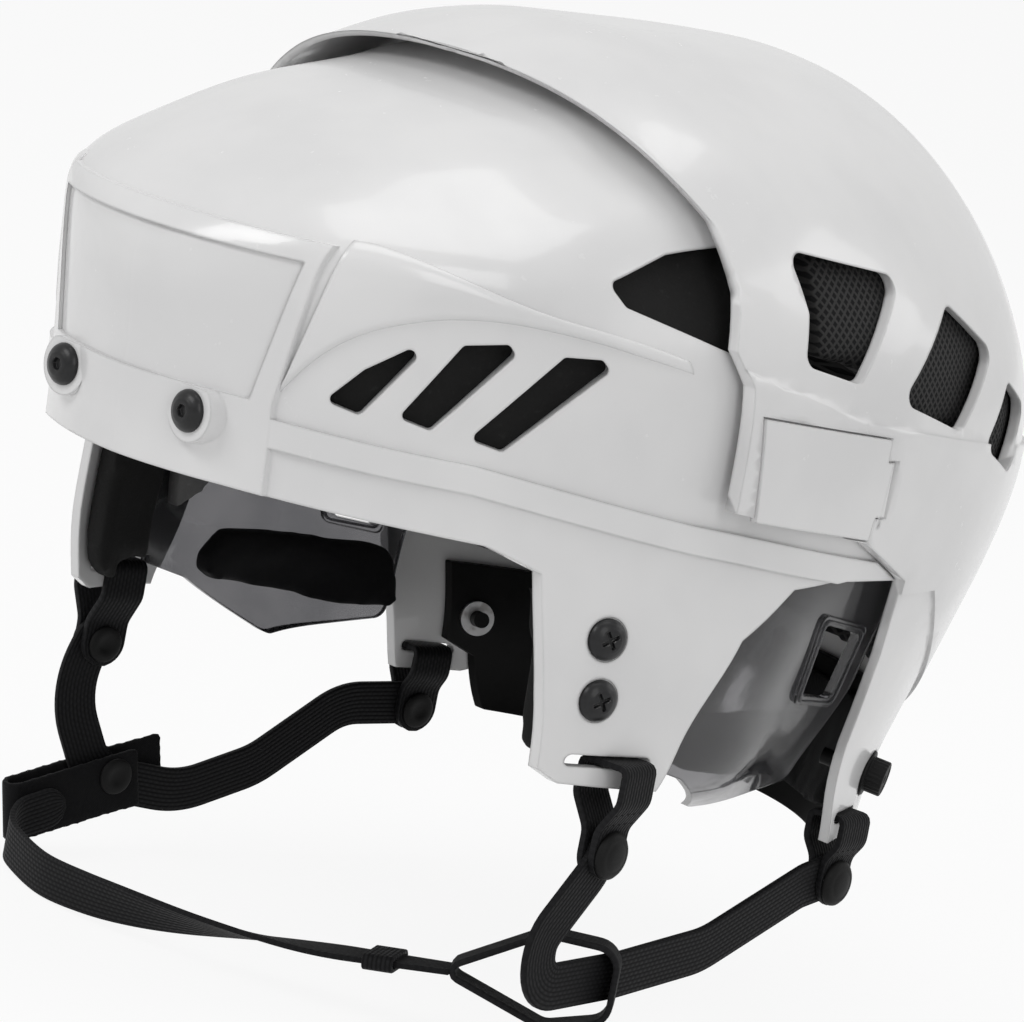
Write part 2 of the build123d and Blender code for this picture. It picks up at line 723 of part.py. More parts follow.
def fit_dial():
    """A knurled dial on a threaded shaft."""
    seat = dial_shaft_clearance - dial_seat_depth
    flange = post(dial_flange_radius, seat, seat + dial_flange_thickness)
    top = seat + dial_flange_thickness + dial_height
    knob = post(dial_radius, seat, top)
    knob = chamfer(knob.edges().group_by(Axis.Z)[-1], dial_grip_depth)
    for step in range(dial_grips):
        groove = Rot(0, 0, 360 * step / dial_grips) * Pos(dial_radius, 0, 0) * post(dial_grip_depth, seat
                                                                                     + dial_flange_thickness, top)
        knob -= groove
    return at(dial_plane(), flange + knob + post(dial_shaft_radius, -dial_shaft_length, seat))


def beside_middle():
    """Everything on the left that keeps clear of the other cradle arm."""
    return Pos(cradle_middle_gap / 2, 0, 0) * left_half()


def cradle_arm():
    """A plate inside the rear shell that a dial draws in against the back of the head."""
    plate = layer(rear_lining, cradle_standoff, cradle_standoff + cradle_wall, side_prism(cradle_shares, pad_gap))
    plate = plate & beside_middle()
    return plate - at(dial_plane(), post(dial_shaft_radius + dial_shaft_clearance, -overrun, overrun))


def dial_nut():
    """The threaded disc on the arm's inner face."""
    start = shell_wall + cradle_standoff + cradle_wall + 3 * skin_gap
    disc = post(nut_radius, -start - nut_thickness, -start)
    return at(dial_plane(), disc - post(dial_shaft_radius + dial_shaft_clearance, -start - nut_thickness, -start))


def cradle_pad():
    start = cradle_standoff + cradle_wall + skin_gap
    pad = layer(rear_lining, start, start + cradle_pad_thickness, side_prism(cradle_pad_shares, guard_round))
    return (pad & beside_middle()) - at(dial_plane(), post(nut_radius + pad_gap, -overrun, 0))


def brow_screw():
    return at(brow_plane(), screw(brow_grip + tee_barrel_length))


def brow_tee_nut():
    return at(brow_plane(), tee_nut(brow_grip))


def tab_screws():
    return [at(plane, screw(tab_grip + tee_barrel_length)) for plane in tab_planes()]


def tab_tee_nuts():
    return [at(plane, tee_nut(tab_grip)) for plane in tab_planes()]


def crown_zone(grow):
    """The part of the lining over the top of the head."""
    depth = -crown_pad_front + grow
    width = crown_pad_half_width + grow
    return Pos(width / 2, -depth / 2, crown_height) * Box(width, depth, crown_height)


def front_liner():
    """The foam round the forehead and temples, cut away for the scoops and the brow tee nuts."""
    foam = layer(lining, 0, foam_thickness, side_prism(front_liner_shares))
    foam -= [crown_zone(crown_pad_gap), scoop_space(shell_wall + skin_gap, shell_wall + skin_gap),
             at(brow_plane(), post(boss_radius + pad_gap, -brow_grip - tee_barrel_length - pad_gap, 0))]
    return whole(foam)


def crown_pad():
    return whole(layer(lining, 0, foam_thickness, side_prism(front_liner_shares) & crown_zone(0)))


def rear_liner():
    return whole(layer(rear_lining, 0, foam_thickness, side_prism(rear_liner_shares)))


def side_liner():
    return layer(lining, 0, foam_thickness, side_prism(side_liner_shares, guard_round))


def temple_pad():
    """The pad behind the temple tab, over the ear guard's arm and the tee nuts."""
    pad = layer(lining, 0, temple_pad_depth, side_prism(temple_pad_shares, small_round))
    arm = side_prism(guard_shares, 0, pad_gap) - lining(guard_thickness + skin_gap)
    return pad - [arm, loop_room()] - [at(plane, tee_room(tab_grip)) for plane in tab_planes()]


def temple_block():
    start = guard_thickness + skin_gap
    return layer(lining, start, temple_block_depth, side_prism(temple_block_shares, small_round))


def ear_guard():
    """The clear guard: it is creased below the ear, and a rim goes round its window."""
    outline = side_prism(guard_shares, guard_round)
    guard = layer(creased_lining, skin_gap, guard_thickness, outline)
    guard += layer(lining, -guard_rim_height, guard_thickness / 2,
                   side_prism(guard_window_shares, 0, guard_rim_width))
    guard -= [side_prism(guard_window_shares, small_round), loop_room()]
    return guard - [at(plane, screw_seat()) for plane in tab_planes()]


def ear_pad():
    start = guard_thickness + skin_gap
    return layer(creased_lining, start, ear_pad_depth, side_prism(ear_pad_shares, guard_round))


def chin_point(shares):
    across, along, up = shares
    return Vector(across * front_half_width, along * brow_reach, up * crown_height)


def chin_tab_points():
    """Where the chin strap lies on the inner leg of the chin pad, on the wearer's right."""
    inset = chin_pad_inner_half + chin_pad_thickness + chin_strap_thickness / 2 + skin_gap
    points = []
    for along, up in chin_tab_shares:
        place = strap_plane(along * brow_reach, up * crown_height)
        inner = place.origin - place.z_dir * inset
        points.append(Vector(-inner.X, inner.Y, inner.Z))
    return points


def chin_route():
    """Straight along the pad, then in one curve round the front of the chin."""
    tab = chin_tab_points()
    points = tab[1:] + [chin_point(shares) for shares in chin_strap_shares] + [chin_point(chin_corner_shares)]
    straight = (tab[1] - tab[0]).normalized()
    run_out = (points[-1] - points[-2]).normalized()
    return Wire([Edge.make_line(*tab), Edge.make_spline(points, tangents=[straight, run_out])])


def chin_frame(route, share):
    """A cross-section of the chin strap, upright at the pad and turned flat at the loop."""
    tangent = route % share
    level = tangent.cross(Vector(0, 0, 1)).normalized()
    upright = level.cross(tangent).normalized()
    turn = math.radians(90 * (1 - eased(share, 0.3, 0.85)))
    return Plane(origin=route @ share, x_dir=upright * math.sin(turn) + level * math.cos(turn), z_dir=tangent)


def chin_strap():
    """The chin strap. Its near end is sewn into a loop round the left jaw strap."""
    route = chin_route()
    sections = [chin_frame(route, step / chin_strap_steps) * Rectangle(chin_strap_width, chin_strap_thickness)
                for step in range(chin_strap_steps + 1)]
    band = loft(sections, ruled=True)
    corner = chin_point(chin_corner_shares)
    turn = math.radians(chin_loop_turn)
    along = Vector(math.cos(turn), math.sin(turn), 0)
    start = corner - along * chin_loop_thickness * 1.5
    plane = Plane(origin=(start.X, start.Y, 0), x_dir=along, z_dir=(math.sin(turn), -math.cos(turn), 0))
    outline = fillet(make_face(Polyline(*[(out * crown_height, up * crown_height) for out, up in chin_loop_shares],
                                        close=True)).vertices(), chin_loop_thickness)
    ring = offset(outline, chin_loop_thickness / 2) - offset(outline, -chin_loop_thickness / 2)
    return band + extrude(plane * ring, chin_loop_width / 2, both=True)


def chin_keeper():
    """The sewn sleeve that closes the loop's end."""
    frame = chin_frame(chin_route(), keeper_place_share)
    wide = chin_strap_width + 2 * pad_gap
    thick = chin_strap_thickness + 2 * skin_gap
    sleeve = Box(wide + 2 * keeper_wall, thick + 2 * keeper_wall, keeper_length) - Box(wide, thick, 2 * keeper_length)
    return at(frame, sleeve)


def chin_pad():
    """The chin pad: a wide band folded round the right jaw strap and open to the rear."""
    along, up = chin_pad_fold_shares
    flat = strap_plane(along * brow_reach, up * crown_height)
    slope = math.radians(chin_pad_slope)
    back = flat.x_dir * math.cos(slope) + flat.y_dir * math.sin(slope)
    plane = Plane(origin=flat.origin, x_dir=back, z_dir=back.cross(flat.z_dir))
    outer = chin_pad_inner_half + chin_pad_thickness
    middle = chin_pad_inner_half + chin_pad_thickness / 2
    fold = (Circle(outer) - Circle(chin_pad_inner_half)) - Pos(outer, 0) * Rectangle(2 * outer, 2 * outer)
    first = Pos(chin_pad_outer_length / 2, middle) * Rectangle(chin_pad_outer_length, chin_pad_thickness)
    second = Pos(chin_pad_inner_length / 2, -middle) * Rectangle(chin_pad_inner_length, chin_pad_thickness)
    pad = extrude(plane * (fold + first + second), chin_pad_width / 2, both=True)
    return mirror(pad - chin_pivot(snap_post_radius, overrun), Plane.YZ)


def chin_snap():
    """The press stud that the chin pad swings about."""
    out = chin_pad_inner_half + chin_pad_thickness
    cap = post(snap_radius, out, out + snap_height)
    cap = chamfer(cap.edges().group_by(Axis.Z)[-1], snap_height * head_slope_share, snap_height)
    ends = at(chin_pivot_plane(), cap + post(snap_base_radius, -out - snap_base_height, -out))
    return mirror(ends + chin_pivot(snap_post_radius, out + snap_base_height / 2), Plane.YZ)


def group(solids):
    """Separate solids on both sides under one name."""
    return Compound(children=[piece for solid in solids for piece in (solid, mirror(solid, Plane.YZ))])


def save(name, shape):
    export_step(shape, f"parts/{name}.step")


def save_pair(name, maker):
    left = maker()
    save(f"left_{name}", left)
    save(f"right_{name}", mirror(left, Plane.YZ))


def build():
    os.makedirs("parts", exist_ok=True)
    for maker in (front_shell, rear_shell, front_liner, crown_pad, rear_liner, chin_strap, chin_keeper, chin_pad,
                  chin_snap):
        save(maker.__name__, maker())
    for maker in (side_liner, temple_pad, temple_block, ear_guard, ear_pad, rear_strap_loop, size_latch, latch_pin,
                  fit_dial, cradle_arm, dial_nut, cradle_pad):
        save_pair(maker.__name__, maker)
    save("left_jaw_strap", left_jaw_strap())
    save("right_jaw_strap", right_jaw_strap())
    save("left_front_strap_loop", front_strap_loop())
    save("right_front_strap_loop", mirror(front_strap_loop(front_loop_slide), Plane.YZ))
    save("brow_screws", group([brow_screw()]))
    save("brow_tee_nuts", group([brow_tee_nut()]))
    save("tab_screws", group(tab_screws()))
    save("tab_tee_nuts", group(tab_tee_nuts()))
    save("front_snaps", Compound(children=[front_snap(), mirror(front_snap(front_loop_slide), Plane.YZ)]))
    save("rear_snaps", group([rear_snap()]))


if __name__ == "__main__":
    build()
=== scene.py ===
import math

import bmesh
import bpy
from mathutils import Matrix, Vector
from mathutils.bvhtree import BVHTree
from mathutils.geometry import interpolate_bezier


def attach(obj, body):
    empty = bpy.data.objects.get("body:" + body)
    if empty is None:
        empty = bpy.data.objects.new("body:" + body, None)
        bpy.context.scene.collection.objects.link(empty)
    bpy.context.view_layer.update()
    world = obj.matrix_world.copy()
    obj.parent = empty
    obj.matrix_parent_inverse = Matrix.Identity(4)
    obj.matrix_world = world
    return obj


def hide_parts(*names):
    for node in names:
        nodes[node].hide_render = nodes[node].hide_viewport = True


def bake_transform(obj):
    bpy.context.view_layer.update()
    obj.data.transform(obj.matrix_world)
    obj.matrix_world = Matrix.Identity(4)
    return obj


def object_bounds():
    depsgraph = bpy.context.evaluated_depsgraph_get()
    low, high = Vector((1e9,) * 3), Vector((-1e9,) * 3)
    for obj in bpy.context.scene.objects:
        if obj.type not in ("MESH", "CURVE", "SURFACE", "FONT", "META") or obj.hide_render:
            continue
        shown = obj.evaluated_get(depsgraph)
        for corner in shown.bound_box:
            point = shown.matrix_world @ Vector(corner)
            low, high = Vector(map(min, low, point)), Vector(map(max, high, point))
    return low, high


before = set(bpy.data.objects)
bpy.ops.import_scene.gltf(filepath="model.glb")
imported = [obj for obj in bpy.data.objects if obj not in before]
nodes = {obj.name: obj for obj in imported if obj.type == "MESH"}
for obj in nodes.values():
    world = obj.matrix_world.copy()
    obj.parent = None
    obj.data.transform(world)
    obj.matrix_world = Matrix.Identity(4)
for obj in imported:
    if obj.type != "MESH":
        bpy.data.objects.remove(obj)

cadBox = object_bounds()
cadBoxNumbers = [list(corner) for corner in cadBox]
mm = 0.001
sides = {"left": 1, "right": -1}
print("frame loaded:", len(nodes), "nodes")


# camera: the photograph's place and angle

view = {"place": (938.24, -1001.16, 235.49), "right": (0.69582, 0.69335, 0.18737),
        "up": (-0.25929, -0.00078, 0.96580), "lens": 190.08, "sensor": 36.0}


def setCamera():
    data = bpy.data.cameras.new("photoCamera")
    data.sensor_width = view["sensor"]
    data.lens = view["lens"]
    data.clip_start = 0.05
    data.clip_end = 20.0
    right = Vector(view["right"]).normalized()
    up = Vector(view["up"]).normalized()
    back = right.cross(up).normalized()
    up = back.cross(right)
    camera = bpy.data.objects.new("photoCamera", data)
    turned = Matrix((right, up, back)).transposed().to_4x4()
    camera.matrix_world = Matrix.Translation(Vector(view["place"]) * mm) @ turned
    bpy.context.scene.collection.objects.link(camera)
    bpy.context.scene.camera = camera


setCamera()


# materials

class Signal:  # a node's output that takes part in Python sums
    def __init__(self, tree, socket=None):
        self.tree = tree
        self.socket = socket

    def make(self, kind, settings=None, inputs=None, output=0):
        node = self.tree.nodes.new(kind)
        for name, value in (settings or {}).items():
            if name == "stops":
                ramp = node.color_ramp.elements
                while len(ramp) < len(value):
                    ramp.new(0.5)
                for stop, (place, colour) in zip(ramp, value):
                    stop.position = place
                    stop.color = colour
            else:
                setattr(node, name, value)
        for name, value in (inputs or {}).items():
            if isinstance(value, Signal):
                self.tree.links.new(value.socket, node.inputs[name])
            else:
                node.inputs[name].default_value = value
        return Signal(self.tree, node.outputs[output])

    def sum(self, operation, first, second=0.0):
        return self.make("ShaderNodeMath", {"operation": operation}, {0: first, 1: second})

    def __add__(self, other):
        return self.sum("ADD", self, other)

    def __radd__(self, other):
        return self.sum("ADD", other, self)

    def __sub__(self, other):
        return self.sum("SUBTRACT", self, other)

    def __rsub__(self, other):
        return self.sum("SUBTRACT", other, self)

    def __mul__(self, other):
        return self.sum("MULTIPLY", self, other)

    def __rmul__(self, other):
        return self.sum("MULTIPLY", other, self)

    def __truediv__(self, other):
        return self.sum("DIVIDE", self, other)

    def within(self, low, high):  # 0 below low, 1 above high
        return self.make("ShaderNodeMapRange", {"interpolation_type": "SMOOTHSTEP"},
                         {"Value": self, "From Min": low, "From Max": high})

    def grain(self, scale, detail=2.0, rough=0.5):  # noise over the object's own coordinates
        place = self.make("ShaderNodeTexCoord", output="Object")
        return self.make("ShaderNodeTexNoise", {}, {"Vector": place, "Scale": scale, "Detail": detail,
                                                    "Roughness": rough})

    def tint(self, first, second):  # from one colour to another
        return self.make("ShaderNodeMix", {"data_type": "RGBA"}, {0: self, 6: first, 7: second}, 2)

    def raised(self, strength, distance, normal=None):
        inputs = {"Strength": strength, "Distance": distance, "Height": self}
        if normal:
            inputs["Normal"] = normal
        return self.make("ShaderNodeBump", {}, inputs)


def newFinish(name, constants):
    material = bpy.data.materials.new(name)
    material.use_nodes = True
    shader = material.node_tree.nodes["Principled BSDF"]
    for socket, value in constants.items():
        shader.inputs[socket].default_value = value
    return material, shader, Signal(material.node_tree)


def feed(shader, links):
    for socket, signal in links.items():
        shader.id_data.links.new(signal.socket, shader.inputs[socket])


def grey(level, warm=0.0):
    return (level * (1 + warm), level, level * (1 - warm), 1.0)


shellTones = {"clean": (0.755, 0.752, 0.752, 1), "shade": (0.70, 0.698, 0.70, 1), "worn": (0.60, 0.595, 0.59, 1),
              "peelScale": 620.0, "edge": 0.0011}


def shellFinish():
    material, shader, start = newFinish("glossShell", {"IOR": 1.5, "Coat Weight": 0.35, "Coat Roughness": 0.05})
    rounded = start.make("ShaderNodeBevel", {"samples": 6}, {"Radius": shellTones["edge"]})
    plain = start.make("ShaderNodeNewGeometry", output="Normal")
    edge = 1 - start.make("ShaderNodeVectorMath", {"operation": "DOT_PRODUCT"}, {0: rounded, 1: plain}, "Value")
    cloudy = start.grain(22.0, 3.0).within(0.35, 0.7)
    scuff = start.grain(260.0, 5.0, 0.7).within(0.6, 0.75)
    wear = (edge * 6.0).within(0.3, 1.0) * start.grain(90.0, 4.0).within(0.45, 0.65)
    colour = (wear * 0.5).tint(cloudy.tint(shellTones["clean"], shellTones["shade"]), shellTones["worn"])
    peel = start.grain(shellTones["peelScale"], 1.0)
    feed(shader, {"Base Color": colour, "Roughness": 0.2 + cloudy * 0.05 + scuff * 0.07 + wear * 0.15,
                  "Normal": peel.raised(0.1, 0.00008, rounded)})
    return material


guardTones = {"light": (0.23, 0.227, 0.236, 1), "dark": (0.16, 0.16, 0.169, 1), "clearness": 0.86}


def guardFinish():
    material, shader, start = newFinish("smokeGuard", {"IOR": 1.46, "Transmission Weight": guardTones["clearness"],
                                                       "Specular IOR Level": 0.6})
    cloudy = start.grain(30.0, 3.0).within(0.3, 0.7)
    scuff = start.grain(420.0, 5.0, 0.7).within(0.58, 0.72)
    rounded = start.make("ShaderNodeBevel", {"samples": 4}, {"Radius": 0.0006})
    feed(shader, {"Base Color": cloudy.tint(guardTones["light"], guardTones["dark"]),
                  "Roughness": 0.06 + cloudy * 0.05 + scuff * 0.1,
                  "Normal": start.grain(300.0, 2.0).raised(0.08, 0.00008, rounded)})
    return material


foamTones = {"black": (0.006, 0.018), "grey": (0.13, 0.2)}


def foamFinish(name, tone):
    material, shader, start = newFinish(name, {"Specular IOR Level": 0.15})
    low, high = foamTones[tone]
    cells = start.grain(1500.0, 2.0)
    patches = start.grain(70.0, 4.0)
    dust = start.grain(500.0, 4.0, 0.7).within(0.58, 0.75)
    colour = (patches * 0.7 + cells * 0.3).tint(grey(low), grey(high, 0.01))
    colour = (dust * 0.25).tint(colour, grey(min(1.0, high * 2.5)))
    feed(shader, {"Base Color": colour, "Roughness": 0.72 + patches * 0.2,
                  "Normal": (cells + patches * 0.5).raised(0.45, 0.0003)})
    return material


# low: the mesh's holes, painted in shade; high: the cords' own tone
meshPattern = {"pitch": 2.6, "low": (0.003, 0.003, 0.0035, 1), "high": (0.026, 0.0255, 0.025, 1)}


def meshFoamFinish():  # foam faced with an open diamond mesh; the holes between the cords are painted darker, as shade
    material, shader, start = newFinish("meshFoam", {"Specular IOR Level": 0.2})
    place = start.make("ShaderNodeTexCoord", output="Object")
    along = start.make("ShaderNodeSeparateXYZ", {}, {0: place}, "Y")
    up = start.make("ShaderNodeSeparateXYZ", {}, {0: place}, "Z")
    turns = 2 * math.pi / (meshPattern["pitch"] * mm)
    one = start.sum("SINE", (along + up) * turns)
    two = start.sum("SINE", (along - up) * turns)
    cord = start.sum("MAXIMUM", one, two).within(-0.1, 0.85)
    fine = start.grain(1200.0, 3.0)
    # away from the cords the colour falls to the low tone: painted shade in the mesh's holes
    feed(shader, {"Base Color": (cord * (0.7 + fine * 0.3)).tint(meshPattern["low"], meshPattern["high"]),
                  "Roughness": 0.85 - cord * 0.25, "Normal": (cord + fine * 0.2).raised(0.6, 0.0005)})
    return material


# the darker weave tone is painted shade in the grooves; thread is the yarn's own black
weave = {"cord": 1.15, "pick": 1.9, "deep": (0.0015, 0.0015, 0.0017, 1), "thread": (0.011, 0.011, 0.012, 1)}


def webbingFinish():  # UV is in centimetres: along the strap and across it; the weave's grooves are painted darker as shade
    material, shader, start = newFinish("blackWebbing", {"Sheen Weight": 0.04, "Sheen Roughness": 0.4,
                                                         "Specular IOR Level": 0.12})
    place = start.make("ShaderNodeTexCoord", output="UV")
    along = start.make("ShaderNodeSeparateXYZ", {}, {0: place}, "X") * 10.0
    across = start.make("ShaderNodeSeparateXYZ", {}, {0: place}, "Y") * 10.0
    row = start.sum("FLOOR", across / weave["cord"])
    rib = start.sum("SINE", across * (math.pi / weave["cord"]))
    rib = start.sum("ABSOLUTE", rib)
    pick = start.sum("SINE", (along / weave["pick"] + row * 0.5) * (2 * math.pi)) * 0.5 + 0.5
    fuzz = start.grain(900.0, 3.0)
    height = rib * (0.55 + pick * 0.45) + fuzz * 0.25
    # low parts of the weave take the darker tone: painted shade in the grooves between cords and picks
    colour = height.within(0.05, 1.1).tint(weave["deep"], weave["thread"])
    feed(shader, {"Base Color": (start.grain(60.0, 3.0) * 0.4).tint(colour, weave["thread"]),
                  "Roughness": 0.82 - rib * 0.22, "Normal": height.raised(0.5, 0.00035)})
    return material


# the darker cloth tone is partly painted shade in the hollows of knit and nap, and partly random darker patches
clothTones = {"deep": (0.003, 0.003, 0.0035, 1), "nap": (0.015, 0.015, 0.016, 1), "yarn": 0.55}


def clothFinish():  # brushed knit on the pads, painted darker as shade in the knit's and nap's hollows, and darker in random patches
    material, shader, start = newFinish("padCloth", {"Sheen Weight": 0.08, "Sheen Roughness": 0.45,
                                                     "Specular IOR Level": 0.1})
    place = start.make("ShaderNodeTexCoord", output="Object")
    turns = 2 * math.pi / (clothTones["yarn"] * mm)
    along = start.make("ShaderNodeSeparateXYZ", {}, {0: place}, "Y")
    up = start.make("ShaderNodeSeparateXYZ", {}, {0: place}, "Z")
    knit = start.sum("SINE", (along + start.grain(120.0) * 0.0006) * turns) * start.sum("SINE", up * turns)
    nap = start.grain(1400.0, 4.0, 0.6)
    patches = start.grain(45.0, 3.0)
    height = knit * 0.3 + nap
    # colour from the height is painted shade in the hollows; the patches are random tone
    feed(shader, {"Base Color": (height * 0.5 + patches * 0.35).tint(clothTones["deep"], clothTones["nap"]),
                  "Roughness": 0.78 + patches * 0.15, "Normal": height.raised(0.4, 0.0003)})
    return material


steelTones = {"paint": (0.006, 0.006, 0.0065, 1), "paintHigh": (0.016, 0.016, 0.017, 1), "metal": (0.42, 0.41, 0.4, 1)}


def coatedSteelFinish():  # black coating, rubbed through at the edges
    material, shader, start = newFinish("blackSteel", {"Coat Roughness": 0.15, "Coat Weight": 0.12,
                                                       "Specular IOR Level": 0.25})
    rounded = start.make("ShaderNodeBevel", {"samples": 4}, {"Radius": 0.0003})
    plain = start.make("ShaderNodeNewGeometry", output="Normal")
    edge = 1 - start.make("ShaderNodeVectorMath", {"operation": "DOT_PRODUCT"}, {0: rounded, 1: plain}, "Value")
    rub = (edge * 8.0).within(0.3, 1.2) * start.grain(700.0, 4.0, 0.7).within(0.48, 0.6)
    fine = start.grain(900.0, 3.0)
    feed(shader, {"Base Color": rub.tint(fine.tint(steelTones["paint"], steelTones["paintHigh"]), steelTones["metal"]),
                  "Metallic": rub, "Roughness": 0.3 + fine * 0.15, "Normal": fine.raised(0.15, 0.0001, rounded)})
    return material


def plainSteelFinish():
    material, shader, start = newFinish("plainSteel", {})
    fine = start.grain(1500.0, 4.0, 0.7)
    spots = start.grain(300.0, 4.0).within(0.5, 0.7)
    feed(shader, {"Base Color": spots.tint((0.55, 0.55, 0.55, 1), (0.36, 0.35, 0.34, 1)),
                  "Metallic": 1 - spots * 0.15, "Roughness": 0.28 + fine * 0.2, "Normal": fine.raised(0.15, 0.0001)})
    return material


def satinPlasticFinish():  # moulded satin black plastic and rubber caps
    material, shader, start = newFinish("satinPlastic", {"Specular IOR Level": 0.12})
    spark = start.grain(1800.0, 2.0)
    patches = start.grain(120.0, 4.0)
    rounded = start.make("ShaderNodeBevel", {"samples": 4}, {"Radius": 0.0004})
    feed(shader, {"Base Color": (patches * 0.8 + spark * 0.2).tint(grey(0.004), grey(0.013)),
                  "Roughness": 0.42 + patches * 0.18, "Normal": spark.raised(0.3, 0.00012, rounded)})
    return material


looks = {"shell": shellFinish(), "guard": guardFinish(), "foam": foamFinish("blackFoam", "black"),
         "greyFoam": foamFinish("greyFoam", "grey"), "meshFoam": meshFoamFinish(), "webbing": webbingFinish(),
         "cloth": clothFinish(), "steel": coatedSteelFinish(), "bareSteel": plainSteelFinish(),
         "hardware": satinPlasticFinish()}
print("materials made:", len(looks))


# the frame's own rigid pieces keep their shape and get a finish

rigidLooks = {"front_shell": "shell", "rear_shell": "shell", "brow_tee_nuts": "bareSteel", "tab_tee_nuts": "bareSteel"}
for side in sides:
    rigidLooks.update({side + "_size_latch": "shell", side + "_latch_pin": "bareSteel", side + "_ear_guard": "guard",
                       side + "_cradle_arm": "hardware", side + "_dial_nut": "bareSteel"})


def dressFrame():
    for name, node in nodes.items():
        look = looks[rigidLooks.get(name, "hardware")]
        for slot in node.material_slots:
            slot.material = look


dressFrame()


# helpers that make a mesh into a piece of the helmet

def makePiece(name, bm, look, body):
    mesh = bpy.data.meshes.new(name)
    bm.to_mesh(mesh)
    bm.free()
    piece = bpy.data.objects.new(name, mesh)
    bpy.context.scene.collection.objects.link(piece)
    mesh.materials.append(looks[look])
    for face in mesh.polygons:
        face.use_smooth = True
    if body:
        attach(piece, body)
    return piece


def settle(piece):  # the modifiers' result becomes the mesh
    graph = bpy.context.evaluated_depsgraph_get()
    mesh = bpy.data.meshes.new_from_object(piece.evaluated_get(graph))
    piece.modifiers.clear()
    old = piece.data
    piece.data = mesh
    bpy.data.meshes.remove(old)


def joinPoints(bm):
    bmesh.ops.remove_doubles(bm, verts=bm.verts, dist=0.00001)


def frameMesh(node):  # a copy of a frame node's mesh
    bm = bmesh.new()
    bm.from_mesh(nodes[node].data)
    return bm


def faceOutwards(bm):
    joinPoints(bm)
    bmesh.ops.recalc_face_normals(bm, faces=bm.faces)


def standing(origin, outward):  # a place whose Z looks outwards
    z = Vector(outward).normalized()
    x = Vector((0, 0, 1)).cross(z)
    x = (x - z * x.dot(z)).normalized()
    return Matrix.Translation(Vector(origin) * mm) @ Matrix((x, z.cross(x), z)).transposed().to_4x4()


# routes of the straps, in millimetres

def easy(value, low, high):  # 0 below low, 1 above high, gentle at both
    share = min(1.0, max(0.0, (value - low) / (high - low)))
    return share * share * (3 - 2 * share)


def evenly(points, step):
    lengths = [(b - a).length for a, b in zip(points, points[1:])]
    total = sum(lengths)
    count = max(2, round(total / step))
    even = []
    for index in range(count + 1):
        left = total * index / count
        for a, b, length in zip(points, points[1:], lengths):
            if left <= length + 0.000001:
                even.append(a.lerp(b, left / length if length else 0))
                break
            left -= length
        else:
            even.append(points[-1].copy())
    return even


def roundedRoute(corners, rounds, step=1.4):
    corners = [Vector(corner) for corner in corners]
    points = [corners[0]]
    for before, corner, after, radius in zip(corners, corners[1:], corners[2:], rounds):
        first = (before - corner).normalized()
        second = (after - corner).normalized()
        half = first.angle(second) / 2
        reach = radius / math.tan(half)
        handle = radius * 4 / 3 * math.tan((math.pi - 2 * half) / 4)
        start = corner + first * reach
        end = corner + second * reach
        points += interpolate_bezier(start, start - first * handle, end - second * handle, end, 9)
    return evenly(points + [corners[-1]], step)


def smoothRoute(knots, step=1.6):
    knots = [Vector(knot) for knot in knots]
    ends = [knots[0]] + knots + [knots[-1]]
    slopes = [(after - before) / 6 for before, after in zip(ends, ends[2:])]
    points = []
    for here, there, leave, arrive in zip(knots, knots[1:], slopes, slopes[1:]):
        points += interpolate_bezier(here, here + leave, there - arrive, there, 12)[:-1]
    return evenly(points + [knots[-1]], step)


def slopesOf(route, closed=False):
    count = len(route)
    slopes = []
    for index in range(count):
        before = route[index - 1] if index else (route[-2] if closed else route[0])
        after = route[index + 1] if index + 1 < count else (route[1] if closed else route[-1])
        slopes.append((after - before).normalized())
    return slopes


# straps: a flat grid laid along a route, then given its thickness

def layBand(name, body, route, across, width, thickness, roundEnds=(False, False), closed=False, look="webbing",
            waist=None):
    steps = len(route) - 1
    rows = 8
    bm = bmesh.new()
    bmesh.ops.create_grid(bm, x_segments=steps, y_segments=rows, size=0.5)
    uv = bm.loops.layers.uv.new("UVMap")
    run = [0.0]
    for a, b in zip(route, route[1:]):
        run.append(run[-1] + (b - a).length)
    flat = {}
    for vertex in bm.verts:
        column = round((vertex.co.x + 0.5) * steps)
        share = vertex.co.y
        half = width / 2
        scale = 1.0
        for isRound, gone in zip(roundEnds, (run[column], run[-1] - run[column])):
            if isRound and gone < half:
                scale = min(scale, max(0.2, math.sqrt(1 - (1 - gone / half) ** 2)))
        if waist:
            scale *= waist(run[column] / run[-1])
        flat[vertex] = (run[column] / 10, share * width / 10)
        vertex.co = (route[column] + across[column] * (share * width * scale)) * mm
    for face in bm.faces:
        for loop in face.loops:
            loop[uv].uv = flat[loop.vert]
    if closed:
        bmesh.ops.remove_doubles(bm, verts=bm.verts, dist=0.00002)
    piece = makePiece(name, bm, look, None)
    solid = piece.modifiers.new("thickness", "SOLIDIFY")
    solid.thickness = thickness * mm
    solid.offset = 0
    edge = piece.modifiers.new("edge", "BEVEL")
    edge.width = thickness * 0.28 * mm
    edge.segments = 2
    edge.limit_method = "ANGLE"
    edge.angle_limit = math.radians(50)
    settle(piece)
    bm = bmesh.new()
    bm.from_mesh(piece.data)
    bmesh.ops.recalc_face_normals(bm, faces=bm.faces)
    bm.to_mesh(piece.data)
    bm.free()
    if body:
        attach(piece, body)
    return piece


strapLine = {"middle": 88.0286, "slope": -0.13493, "thickness": 1.6, "gap": 0.15}
outward = Vector((0.99102, 0.133715, 0))
alongStrap = Vector((-0.133715, 0.99102, 0))


def onStrapPlane(y, z):
    return Vector((strapLine["middle"] + strapLine["slope"] * y, y, z))


def mirrored(vectors, sign):
    return [Vector((v.x * sign, v.y, v.z)) for v in vectors]


